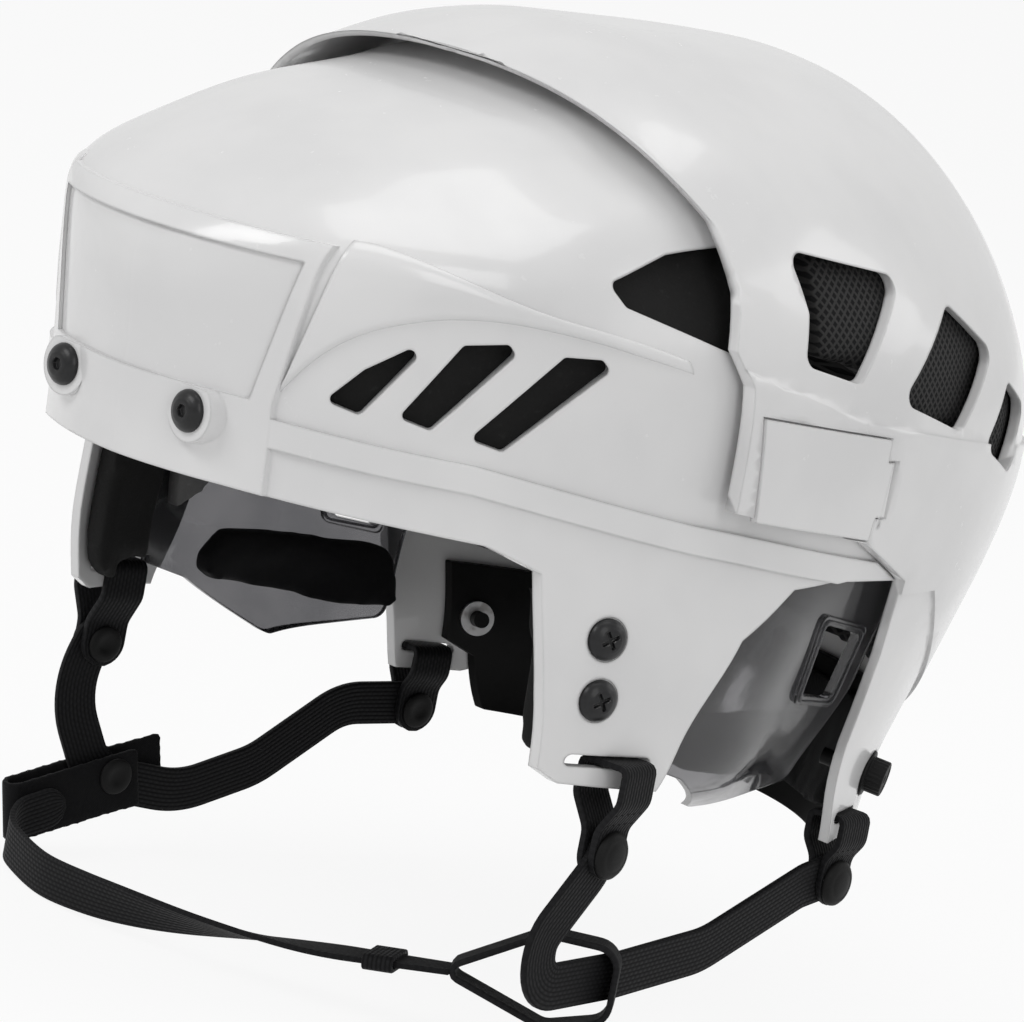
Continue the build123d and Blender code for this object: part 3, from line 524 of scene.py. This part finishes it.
jawStraps = {
    "width": 12.0, "frontEnd": -37.5, "rearEnd": 68.0,
    "left": {"corners": ((-36.14, -70.52), (-36.79, -79.38), (-55.19, -97.2), (-54.53, -110.16), (-21.03, -109.94),
                         (15.77, -107.24), (56.51, -94.18), (73.59, -91.8)),
             "rounds": (12.0, 9.0, 8.5, 40.0, 40.0, 20.0)},
    "right": {"corners": ((-39.69, -70.52), (-47.31, -89.96), (-34.43, -113.94), (-5.91, -118.48), (17.87, -110.48),
                          (43.63, -92.56), (73.59, -91.8)),
              "rounds": (25.0, 16.0, 30.0, 30.0, 20.0)}}


def jawStrap(side):
    sign = sides[side]
    route = roundedRoute([onStrapPlane(y, z) for y, z in jawStraps[side]["corners"]], jawStraps[side]["rounds"])
    across = [outward.cross(slope) for slope in slopesOf(route)]
    piece = layBand(side + "JawWebbing", None, mirrored(route, sign), mirrored(across, sign), jawStraps["width"],
                    strapLine["thickness"], roundEnds=(True, True))
    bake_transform(piece)
    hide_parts(side + "_jaw_strap")


for side in sides:
    jawStrap(side)

loops = {"width": 13.0, "slotHalf": 1.5, "stand": 0.45, "snapRadius": 6.2,
         "front": {"left": -37.5, "right": -40.0, "height": -53.6, "tab": 9.0, "snap": 23.0, "lean": 3.9},
         "rear": {"left": 68.0, "right": 68.0, "height": -75.5, "tab": 7.0, "snap": 18.0, "lean": 2.3}}


def loopReach(sizes):  # half the loop's width at the slot and at the stud, and where it closes
    wide = loops["slotHalf"] + loops["stand"] + sizes["lean"] + strapLine["thickness"] / 2
    return wide, strapLine["thickness"] + strapLine["gap"], loops["snapRadius"] - sizes["snap"]


def strapLoop(side, end):
    sign = sides[side]
    sizes = loops[end]
    wide, close, low = loopReach(sizes)
    foot = -sizes["snap"] - loops["snapRadius"]
    corners = ((foot, close), (low, close), (-sizes["tab"], wide), (0, wide), (0, -wide), (-sizes["tab"], -wide),
               (low, -close), (foot, -close))
    origin = onStrapPlane(sizes[side], sizes["height"])
    route = roundedRoute([origin + Vector((0, 0, down)) + outward * out for down, out in corners],
                         (6.0, 5.0, 1.6, 1.6, 5.0, 6.0), 0.9)
    piece = layBand(side + end.capitalize() + "LoopWebbing", end + "_half", mirrored(route, sign),
                    mirrored([alongStrap] * len(route), sign), loops["width"], strapLine["thickness"],
                    roundEnds=(True, True), waist=lambda share: 1 - 0.05 * math.sin(math.pi * share) ** 6)
    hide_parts(side + "_" + end + "_strap_loop")


for side in sides:
    for end in ("front", "rear"):
        strapLoop(side, end)

chin = {"knots": ((-89.4, -45.7, -119.9), (-90.2, -52.4, -122.2), (-90.4, -60.0, -124.5), (-85.0, -67.4, -126.7),
                  (-76.8, -71.6, -127.9), (-59.0, -77.2, -128.6), (-40.6, -79.5, -127.5), (-22.2, -79.9, -125.6),
                  (-3.9, -77.5, -123.6), (13.9, -72.8, -121.5), (31.5, -67.2, -119.5), (47.9, -59.0, -117.5),
                  (64.0, -50.0, -115.5)),
        "width": 11.0, "thickness": 1.4, "turnFrom": 0.3, "turnTo": 0.85,
        "corner": (64.0, -50.0, -115.45), "ringTurn": 39.1, "ringWidth": 8.0, "ringThickness": 2.0,
        "ring": ((0.0, -115.45), (24.0, -101.2), (42.8, -101.6), (42.8, -120.0), (27.6, -124.6)),
        "sleeve": 0.9, "sleeveLength": 8.0}


def chinFrames(route):
    frames = []
    for index, slope in enumerate(slopesOf(route)):
        turn = math.radians(90 * (1 - easy(index / (len(route) - 1), chin["turnFrom"], chin["turnTo"])))
        level = slope.cross(Vector((0, 0, 1))).normalized()
        frames.append((level.cross(slope) * math.sin(turn) + level * math.cos(turn)).normalized())
    return frames


def chinStrap():
    route = smoothRoute(chin["knots"])
    frames = chinFrames(route)
    strap = layBand("chinWebbing", "chin_harness", route, frames, chin["width"], chin["thickness"],
                    roundEnds=(True, False), waist=lambda share: 1 - 0.25 * max(0, share - 0.85) / 0.15)
    turn = math.radians(chin["ringTurn"])
    along = Vector((math.cos(turn), math.sin(turn), 0))
    through = Vector((math.sin(turn), -math.cos(turn), 0))
    corner = Vector(chin["corner"])
    start = corner - along * chin["ringThickness"] * 1.5
    start.z = 0
    ring = [start + along * out + Vector((0, 0, up)) for out, up in chin["ring"]]
    middle = (ring[0] + ring[1]) / 2
    loop = roundedRoute([middle] + ring[1:] + [ring[0], middle], (5.0, 5.5, 5.5, 5.0, 2.2), 1.2)
    webbing = layBand("chinLoopWebbing", "chin_harness", loop, [through] * len(loop), chin["ringWidth"],
                      chin["ringThickness"] * 0.8, closed=True)
    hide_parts("chin_strap")
    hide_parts("chin_strap")
    place = round(chin["sleeve"] * (len(route) - 1))
    slope = slopesOf(route)[place]
    side = frames[place]
    face = slope.cross(side)
    halfWide = chin["width"] / 2 + 0.9
    halfThick = chin["thickness"] / 2 + 0.75
    box = [route[place] + side * (halfWide * a) + face * (halfThick * b)
           for a, b in ((0, 1), (1, 1), (1, -1), (-1, -1), (-1, 1), (0, 1))]
    sleeve = layBand("keeperWebbing", "chin_harness", roundedRoute(box, (1.2,) * 4, 0.8),
                     [slope] * 400, chin["sleeveLength"], 1.1, closed=True)
    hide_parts("chin_keeper")


chinStrap()
print("straps laid")


# pads: the frame's solid is remeshed, drawn in, swollen as cloth and capped

pads = {
    "front_liner": {"body": "front_half", "look": "foam", "voxel": 3.2, "draw": 0.9, "cap": 1.0, "fill": 0.9},
    "crown_pad": {"body": "front_half", "look": "cloth", "voxel": 2.6, "draw": 0.8, "cap": 1.2, "fill": 0.8},
    "rear_liner": {"body": "rear_half", "look": "meshFoam", "voxel": 3.2, "draw": 0.9, "cap": 1.0, "fill": 0.9},
    "side_liner": {"body": "front_half", "look": "foam", "voxel": 2.4, "draw": 0.8, "cap": 0.9, "fill": 0.9},
    "temple_pad": {"body": "front_half", "look": "foam", "voxel": 2.0, "draw": 0.7, "cap": 0.8, "fill": 0.9},
    "temple_block": {"body": "front_half", "look": "greyFoam", "voxel": 1.8, "draw": 0.7, "cap": 1.1, "fill": 0.8},
    "ear_pad": {"body": "front_half", "look": "cloth", "voxel": 2.0, "draw": 0.7, "cap": 1.2, "fill": 0.7},
    "cradle_pad": {"body": "cradle", "look": "cloth", "voxel": 1.5, "draw": 0.6, "cap": 0.8, "fill": 0.7},
    "chin_pad": {"body": "chin_harness", "look": "cloth", "voxel": 0.7, "draw": 0.25, "cap": 0.3, "fill": 0.5,
                 "trim": 0.86, "stud": -29.968}}
swelling = {"pressure": 4.0, "frames": 20, "smoothing": 3}


def swell(piece, cap):
    rest = [vertex.co.copy() for vertex in piece.data.vertices]
    cloth = piece.modifiers.new("cloth", "CLOTH")
    cloth.settings.use_pressure = True
    cloth.settings.uniform_pressure_force = swelling["pressure"]
    cloth.settings.effector_weights.gravity = 0
    cloth.settings.quality = 4
    cloth.collision_settings.use_collision = False
    cloth.point_cache.frame_end = swelling["frames"]
    for number in range(1, swelling["frames"] + 1):
        bpy.context.scene.frame_set(number)
    settle(piece)
    bpy.context.scene.frame_set(1)
    for vertex, place in zip(piece.data.vertices, rest):
        moved = vertex.co - place
        if moved.length > cap * mm:
            moved = moved.normalized() * cap * mm
        vertex.co = place + moved


def softPad(node, sizes, body):
    bm = frameMesh(node)
    joinPoints(bm)
    words = node.split("_")
    piece = makePiece(words[0] + "".join(word.capitalize() for word in words[1:]) + "Foam", bm, sizes["look"], None)
    while len(piece.data.materials) > 1:
        piece.data.materials.pop(index=0)
    remesh = piece.modifiers.new("remesh", "REMESH")
    remesh.mode = "VOXEL"
    remesh.voxel_size = sizes["voxel"] * mm
    settle(piece)
    bm = bmesh.new()
    bm.from_mesh(piece.data)
    bm.normal_update()
    for vertex, normal in [(vertex, vertex.normal.copy()) for vertex in bm.verts]:
        vertex.co -= normal * sizes["draw"] * mm
    for turn in range(swelling["smoothing"]):
        bmesh.ops.smooth_vert(bm, verts=bm.verts, factor=0.4, use_axis_x=True, use_axis_y=True, use_axis_z=True)
    bm.to_mesh(piece.data)
    bm.free()
    swell(piece, sizes["cap"])
    for vertex in piece.data.vertices if "trim" in sizes else ():  # shorter in front of its stud
        vertex.co.y += (1 - sizes["trim"]) * max(0.0, sizes["stud"] * mm - vertex.co.y)
    piece.data.materials.clear()
    piece.data.materials.append(looks[sizes["look"]])
    for face in piece.data.polygons:
        face.material_index = 0
        face.use_smooth = True
    finer = piece.modifiers.new("finer", "SUBSURF")
    finer.levels = 1
    finer.render_levels = 1
    settle(piece)
    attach(piece, body)
    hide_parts(node)
    print("pad", node, len(piece.data.polygons))


for padName, padSizes in pads.items():
    if padName in nodes:
        softPad(padName, padSizes, padSizes["body"])
    else:
        for side in sides:
            padBody = side + "_cradle" if padSizes["body"] == "cradle" else padSizes["body"]
            softPad(side + "_" + padName, padSizes, padBody)
print("pads swollen")


# turned pieces: a profile spun round Z, with a recess where the piece has one

def turnProfile(bm, profile, segments=40):
    points = [bm.verts.new((radius * mm, 0, height * mm)) for radius, height in profile]
    edges = [bm.edges.new(pair) for pair in zip(points, points[1:])]
    bmesh.ops.spin(bm, geom=points + edges, cent=(0, 0, 0), axis=(0, 0, 1), dvec=(0, 0, 0), angle=2 * math.pi,
                   steps=segments, use_merge=True, use_duplicate=False)
    joinPoints(bm)


def sinkRecess(bm, outline, height, depth):  # a driver's recess in the open middle of a head
    rim = [edge for edge in bm.edges if edge.is_boundary and edge.verts[0].co.z > (height - 0.05) * mm]
    points = [bm.verts.new((x * mm, y * mm, (height - 0.05) * mm)) for x, y in outline]
    loop = [bm.edges.new((a, b)) for a, b in zip(points, points[1:] + points[:1])]
    bmesh.ops.bridge_loops(bm, edges=rim + loop)
    down = bmesh.ops.extrude_edge_only(bm, edges=loop)["geom"]
    floor = [item for item in down if isinstance(item, bmesh.types.BMVert)]
    bmesh.ops.translate(bm, verts=floor, vec=(0, 0, -depth * mm))
    bmesh.ops.scale(bm, verts=floor, vec=(0.8, 0.8, 1))
    bmesh.ops.contextual_create(bm, geom=[item for item in down if isinstance(item, bmesh.types.BMEdge)
                                          and all(vertex in floor for vertex in item.verts)])


def turnedPieces(name, body, look, places, shape, replaced):
    whole = bmesh.new()
    for place in places:
        bm = bmesh.new()
        shape(bm)
        faceOutwards(bm)
        bmesh.ops.transform(bm, matrix=place, verts=bm.verts)
        part = bpy.data.meshes.new("part")
        bm.to_mesh(part)
        bm.free()
        whole.from_mesh(part)
        bpy.data.meshes.remove(part)
    piece = makePiece(name, whole, look, body)
    soft = piece.modifiers.new("edge", "BEVEL")
    soft.width = 0.12 * mm
    soft.segments = 2
    soft.limit_method = "ANGLE"
    soft.angle_limit = math.radians(38)
    piece.data.set_sharp_from_angle(angle=math.radians(42))
    settle(piece)
    for node in replaced:
        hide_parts(node)


screws = {"height": 2.6, "shank": 2.0, "depth": 1.1,
          "head": ((5.2, 0.02), (5.2, 0.55), (5.0, 1.1), (4.45, 1.75), (3.7, 2.25), (3.0, 2.5), (2.85, 2.6)),
          "cross": [(0.55, 0.55), (0.5, 2.5), (-0.5, 2.5), (-0.55, 0.55), (-2.5, 0.5), (-2.5, -0.5), (-0.55, -0.55),
                    (-0.5, -2.5), (0.5, -2.5), (0.55, -0.55), (2.5, -0.5), (2.5, 0.5)],
          "hex": [(1.75 * math.cos(math.radians(60 * k)), 1.75 * math.sin(math.radians(60 * k))) for k in range(6)],
          "browLength": 11.5, "tabLength": 8.3}


def screwShape(recess, length):
    def shape(bm):
        turnProfile(bm, ((0, -length), (screws["shank"], -length), (screws["shank"], 0)) + screws["head"])
        sinkRecess(bm, screws[recess], screws["height"], screws["depth"])
    return shape


browPlaces = [standing((x, -133.213, 15.0), (0, -1, 0)) for x in (23.0, -23.0)]
tabRows = ((91.265, -48.532, -23.112, 0.950, -0.305, 0.074), (92.145, -48.532, -38.124, 0.963, -0.267, 0.018))
tabPlaces = [standing((sign * x, y, z), (sign * a, b, c)) @ Matrix.Rotation(0.5 * sign, 4, "Z")
             for x, y, z, a, b, c in tabRows for sign in (1, -1)]
turnedPieces("browScrewHeads", "front_half", "steel", browPlaces, screwShape("hex", screws["browLength"]),
             ["brow_screws"])
turnedPieces("tabScrewHeads", "front_half", "steel", tabPlaces, screwShape("cross", screws["tabLength"]),
             ["tab_screws"])

snaps = {"cap": ((0.0, 2.8), (1.7, 2.75), (3.4, 2.5), (3.9, 2.25), (4.3, 2.3), (5.2, 1.95), (6.0, 1.2), (6.2, 0.5),
                 (6.0, 0.05), (1.5, 0.0)),
         "out": 2.55, "chinOut": 3.9, "backing": 5.1,
         "base": ((1.5, -5.1), (4.6, -5.1), (5.0, -5.4), (4.9, -5.95), (4.2, -6.3), (2.4, -6.3), (1.9, -6.0),
                  (0.0, -6.0))}



def snapShape(out):
    def shape(bm):
        back = [(radius, height + snaps["backing"] - 2 * out) for radius, height in snaps["base"]]
        turnProfile(bm, snaps["cap"] + tuple(back))
        bmesh.ops.translate(bm, verts=bm.verts, vec=(0, 0, out * mm))
    return shape


def snapPlaces(end):
    sizes = loops[end]
    places = []
    for side, sign in sides.items():
        centre = onStrapPlane(sizes[side], sizes["height"] - sizes["snap"])
        places.append(standing(mirrored([centre], sign)[0], mirrored([outward], sign)[0]))
    return places


turnedPieces("frontSnapCaps", "front_half", "hardware", snapPlaces("front"), snapShape(snaps["out"]), ["front_snaps"])
turnedPieces("rearSnapCaps", "rear_half", "hardware", snapPlaces("rear"), snapShape(snaps["out"]), ["rear_snaps"])
chinStud = Vector((92.072, -29.968, -112.86))
turnedPieces("chinSnapCap", "chin_harness", "hardware", [standing(*mirrored([chinStud, outward], -1))],
             snapShape(snaps["chinOut"]), ["chin_snap"])

dials = {"origin": (75.083, 80.0, -66.0), "outward": (0.8615, 0.4877, -0.1412), "teeth": 24, "bite": 0.05,
         "gripFrom": 1.0, "gripReach": 4.0,
         "profile": ((0, -12.6), (2.2, -12.6), (2.2, -0.2), (6.1, -0.2), (6.2, 0.1), (6.0, 0.72), (4.75, 0.8),
                     (4.8, 1.2), (4.8, 4.9), (4.6, 5.25), (3.6, 5.36), (3.3, 5.1), (1.2, 5.1), (0.9, 5.3), (0, 5.32))}


def dialShape(bm):
    turnProfile(bm, dials["profile"], 96)
    for vertex in bm.verts:
        reach = math.hypot(vertex.co.x, vertex.co.y)
        if vertex.co.z > dials["gripFrom"] * mm and reach > dials["gripReach"] * mm:
            ripple = 1 - dials["bite"] * (0.5 + 0.5 * math.cos(dials["teeth"] * math.atan2(vertex.co.y, vertex.co.x)))
            vertex.co.x *= ripple
            vertex.co.y *= ripple


for side, sign in sides.items():
    dialX, dialY, dialZ = dials["origin"]
    leanX, leanY, leanZ = dials["outward"]
    turnedPieces(side + "DialKnob", side + "_dial", "hardware",
                 [standing((sign * dialX, dialY, dialZ), (sign * leanX, leanY, leanZ))], dialShape,
                 [side + "_fit_dial"])
print("turned pieces made")


# moulded forms on the shells

def skinTree(node):
    bm = frameMesh(node)
    tree = BVHTree.FromBMesh(bm)
    bm.free()
    return tree


def lookUp(rows, place):  # reads a table of rows (place, value) between its rows
    for (low, first), (high, second) in zip(rows, rows[1:]):
        if place <= high:
            share = max(0.0, (place - low) / (high - low))
            return first + (second - first) * share
    return rows[-1][1]


def radial(point):  # outwards from the shell, which is nearly an egg
    return Vector((point.x / 104, (point.y + 12) / 170, point.z / 108)).normalized()


browBand = {
    "arch": ((40.6, -122.0, 24.0), (45.5, -118.8, 32.1), (50.5, -115.1, 38.2), (55.2, -110.8, 42.4),
             (59.8, -106.1, 45.3), (65.6, -99.2, 48.1), (71.2, -91.6, 49.6), (76.2, -83.2, 49.9), (81.0, -74.2, 49.3),
             (85.6, -64.8, 48.2), (90.9, -52.2, 45.9), (93.9, -39.2, 43.3)),
    "crease": ((47.4, -113.2, 62.4), (52.0, -110.9, 63.4), (56.7, -107.6, 62.8), (64.1, -101.0, 60.7),
               (70.5, -93.2, 58.1), (75.8, -84.2, 55.3), (80.5, -74.7, 53.0), (85.1, -64.9, 51.4), (90.3, -52.3, 49.2),
               (93.4, -41.0, 46.6)),
    "proud": 1.5, "columns": 96, "wall": 0.7, "search": 12, "reach": 8, "fadeFrom": 0.8, "fade": 0.75,
    "rows": ((0.0, -0.5), (0.012, 0.25), (0.03, 0.72), (0.055, 0.93), (0.1, 1.0), (0.2, 1.0), (0.32, 1.0), (0.45, 1.0),
             (0.58, 0.98), (0.7, 0.93), (0.8, 0.82), (0.88, 0.6), (0.95, 0.25), (1.0, -0.2))}


def browBandPiece(side, tree):
    sign = sides[side]
    steps = browBand["columns"]
    low = smoothRoute(browBand["arch"], 0.5)
    high = smoothRoute(browBand["crease"], 0.5)
    rows = browBand["rows"]
    bm = bmesh.new()
    bmesh.ops.create_grid(bm, x_segments=steps, y_segments=len(rows) - 1, size=0.5)
    for vertex in bm.verts:
        share = vertex.co.x + 0.5
        row = round((vertex.co.y + 0.5) * (len(rows) - 1))
        across, height = rows[row]
        point = low[round(share * (len(low) - 1))].lerp(high[round(share * (len(high) - 1))], across)
        way = radial(point)
        point.x, way.x = point.x * sign, way.x * sign
        hit = tree.ray_cast((point + way * browBand["search"]) * mm, -way)[0]
        ground = hit if hit and (hit - point * mm).length < browBand["reach"] * mm else point * mm
        fade = 1 - easy(share, browBand["fadeFrom"], 1.0) * browBand["fade"]
        vertex.co = ground + way * (height * browBand["proud"] * fade if height > 0 else height * 0.8) * mm
    for turn in range(2):
        inner = [vertex for vertex in bm.verts if not vertex.is_boundary]
        bmesh.ops.smooth_vert(bm, verts=inner, factor=0.35, use_axis_x=True, use_axis_y=True, use_axis_z=True)
    bm.normal_update()
    faces = list(bm.faces)
    if sum(face.normal.dot(face.calc_center_median()) for face in faces) < 0:
        bmesh.ops.reverse_faces(bm, faces=faces)
    piece = makePiece(side + "BrowBand", bm, "shell", None)
    wall = piece.modifiers.new("wall", "SOLIDIFY")
    wall.thickness = browBand["wall"] * mm
    wall.offset = -1
    settle(piece)
    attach(piece, "front_half")


frontTree = skinTree("front_shell")
for side in sides:
    browBandPiece(side, frontTree)

rearLip = {"rim": ((50.0, -30.0), (63.0, -27.4), (78.0, -29.0), (92.0, -38.0), (104.0, -46.0), (162.0, -50.0)),
           "reach": 28.0, "depth": 1.5, "low": 62.0, "high": 92.0, "edge": 3.0, "back": 5.0}


def rearShellPiece():  # its front lip is thinned from outside
    bm = frameMesh("rear_shell")
    joinPoints(bm)
    for turn in range(3):
        near = [edge for edge in bm.edges if edge.calc_length() > rearLip["edge"] * mm
                and min(vertex.co.z for vertex in edge.verts) > rearLip["low"] * mm
                and min(vertex.co.y for vertex in edge.verts) < rearLip["back"] * mm]
        bmesh.ops.subdivide_edges(bm, edges=near, cuts=1)
        bmesh.ops.triangulate(bm, faces=[face for face in bm.faces if len(face.verts) > 3])
    bm.normal_update()
    moves = []
    for vertex in bm.verts:
        place = vertex.co / mm
        if place.z < rearLip["low"]:
            continue
        behind = place.y - lookUp(rearLip["rim"], place.z)
        share = (1 - easy(behind, 0.0, rearLip["reach"])) * easy(place.z, rearLip["low"], rearLip["high"])
        if share > 0:
            way = radial(Vector((abs(place.x), place.y, place.z)))
            way.x *= 1 if place.x > 0 else -1
            depth = rearLip["depth"] * easy(vertex.normal.dot(way), -0.9, 0.9)
            moves.append((vertex, way * depth * share * mm))
    for vertex, move in moves:
        vertex.co -= move
    piece = makePiece("rearShellSkin", bm, "shell", None)
    piece.data.set_sharp_from_angle(angle=math.radians(32))
    even = piece.modifiers.new("evenNormals", "WEIGHTED_NORMAL")
    even.keep_sharp = True
    settle(piece)
    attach(piece, "rear_half")
    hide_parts("rear_shell")


rearShellPiece()

windowLip = {"outline": ((27.8, -18.6), (49.4, -23.0), (47.3, -43.4), (29.8, -41.4)), "round": 2.2, "width": 1.2,
             "thickness": 0.7, "step": 0.9, "outside": 200, "plain": 97}


def windowLipPiece(side):
    sign = sides[side]
    tree = skinTree(side + "_ear_guard")
    corners = [Vector((0, y, z)) for y, z in windowLip["outline"]]
    middle = (corners[0] + corners[1]) / 2
    route = roundedRoute([middle] + corners[1:] + [corners[0], middle], (windowLip["round"],) * 4,
                         windowLip["step"])
    placed = []
    for point in route:
        start = Vector((sign * windowLip["outside"], point.y, point.z))
        hit = tree.ray_cast(start * mm, Vector((-sign, 0, 0)))[0]
        placed.append(hit / mm if hit else Vector((sign * windowLip["plain"], point.y, point.z)))
    layBand(side + "WindowLip", "front_half", placed, [Vector((1, 0, 0))] * len(placed), windowLip["width"],
            windowLip["thickness"], closed=True, look="guard")


for side in sides:
    windowLipPiece(side)


# stitches: short beads of thread in rows

thread = {"pitch": 2.3, "length": 0.75, "radius": 0.26, "rows": (0.35, 0.75), "inset": 1.6, "stand": 0.92}


def sewRow(bm, start, end, face):
    count = max(2, round((end - start).length / thread["pitch"]))
    along = (end - start).normalized()
    across = face.cross(along).normalized()
    for index in range(count + 1):
        centre = start.lerp(end, index / count)
        place = Matrix.Translation(centre * mm) @ Matrix((along, across, face)).transposed().to_4x4()
        size = Matrix.Diagonal((thread["length"] * mm, thread["radius"] * mm, thread["radius"] * mm, 1))
        bmesh.ops.create_icosphere(bm, subdivisions=1, radius=1, matrix=place @ size)


def sewPiece(name, body, rows):
    bm = bmesh.new()
    for start, end, face in rows:
        sewRow(bm, start, end, face)
    makePiece(name, bm, "hardware", body)


def loopRows(end):
    rows = []
    for side, sign in sides.items():
        sizes = loops[end]
        wide, close, low = loopReach(sizes)
        origin = onStrapPlane(sizes[side], sizes["height"])
        for share in thread["rows"]:
            down = -sizes["tab"] + (low + sizes["tab"]) * share
            out = wide + (close - wide) * share + thread["stand"]
            centre = origin + Vector((0, 0, down)) + outward * out
            half = alongStrap * (loops["width"] / 2 - thread["inset"])
            start, stop, face = mirrored([centre - half, centre + half, outward], sign)
            rows.append((start, stop, face))
    return rows


chinSeam = {"slope": 14.3, "fold": (-58.8, -123.34), "shift": 6.9, "skip": 6.5, "length": 40.0, "stand": 3.95}


def chinPadRows():
    slope = math.radians(chinSeam["slope"])
    back = alongStrap * math.cos(slope) + Vector((0, 0, math.sin(slope)))
    up = Vector((0, 0, math.cos(slope))) - alongStrap * math.sin(slope)
    fold = onStrapPlane(*chinSeam["fold"])
    rows = []
    for shift in (-chinSeam["shift"], chinSeam["shift"]):
        start = fold + back * chinSeam["skip"] + up * shift + outward * chinSeam["stand"]
        rows.append(tuple(mirrored([start, start + back * chinSeam["length"], outward], -1)))
    return rows


sewPiece("frontLoopStitches", "front_half", loopRows("front"))
sewPiece("rearLoopStitches", "rear_half", loopRows("rear"))
sewPiece("chinPadStitches", "chin_harness", chinPadRows())
print("moulded forms and stitches made")


# room round the helmet

room = {"floorGap": 0.0006, "floorTone": (0.86, 0.86, 0.86, 1), "whiteShare": 0.9, "skyLight": 0.4}


def whiteFloor():
    bm = bmesh.new()
    bmesh.ops.create_grid(bm, x_segments=1, y_segments=1, size=6.0)
    low = min(corner[2] for corner in cadBoxNumbers)
    bmesh.ops.translate(bm, verts=bm.verts, vec=(0, 0, low - room["floorGap"]))
    mesh = bpy.data.meshes.new("paleFloor")
    bm.to_mesh(mesh)
    bm.free()
    floor = bpy.data.objects.new("paleFloor", mesh)
    bpy.context.scene.collection.objects.link(floor)
    material, shader, start = newFinish("paleFloor", {"Roughness": 0.9, "Base Color": room["floorTone"]})
    rays = start.make("ShaderNodeLightPath", output="Is Camera Ray")
    glossy = start.make("ShaderNodeLightPath", output="Is Glossy Ray")
    through = start.make("ShaderNodeLightPath", output="Is Transmission Ray")
    seen = start.sum("MINIMUM", rays + glossy + through, 1.0)
    glow = start.make("ShaderNodeEmission", {}, {"Color": (1, 1, 1, 1), "Strength": 1.0})
    mixed = start.make("ShaderNodeMixShader", {}, {0: seen * room["whiteShare"],
                                                   1: Signal(material.node_tree, shader.outputs[0]), 2: glow})
    output = material.node_tree.nodes["Material Output"]
    material.node_tree.links.new(mixed.socket, output.inputs["Surface"])
    mesh.materials.append(material)


def whiteWorld():
    world = bpy.data.worlds.new("studio")
    bpy.context.scene.world = world
    world.use_nodes = True
    start = Signal(world.node_tree)
    rays = start.make("ShaderNodeLightPath", output="Is Camera Ray")
    glossy = start.make("ShaderNodeLightPath", output="Is Glossy Ray")
    through = start.make("ShaderNodeLightPath", output="Is Transmission Ray")
    seen = start.sum("MINIMUM", rays + glossy * 0.62 + through, 1.0)
    sky = world.node_tree.nodes["Background"]
    sky.inputs["Color"].default_value = (1, 1, 1, 1)
    strength = room["skyLight"] + seen * (1 - room["skyLight"])
    world.node_tree.links.new(strength.socket, sky.inputs["Strength"])


lamps = {"key": {"place": (-0.35, -1.5, 1.25), "size": (1.0, 0.7), "power": 11.5},
         "near": {"place": (1.7, -0.7, 0.9), "size": (0.8, 1.2), "power": 7.0},
         "top": {"place": (0.1, 0.1, 1.7), "size": (1.2, 1.2), "power": 8.0},
         "back": {"place": (0.9, 1.4, 0.9), "size": (0.8, 0.8), "power": 3.0}}


def softLamps():
    for name, sizes in lamps.items():
        data = bpy.data.lights.new(name + "Lamp", "AREA")
        data.shape = "RECTANGLE"
        data.size, data.size_y = sizes["size"]
        data.energy = sizes["power"]
        lamp = bpy.data.objects.new(name + "Lamp", data)
        place = Vector(sizes["place"])
        lamp.matrix_world = Matrix.Translation(place) @ place.to_track_quat("Z", "Y").to_matrix().to_4x4()
        bpy.context.scene.collection.objects.link(lamp)


whiteFloor()
whiteWorld()
softLamps()
bpy.context.scene.view_settings.view_transform = "Standard"

print("all stages done")
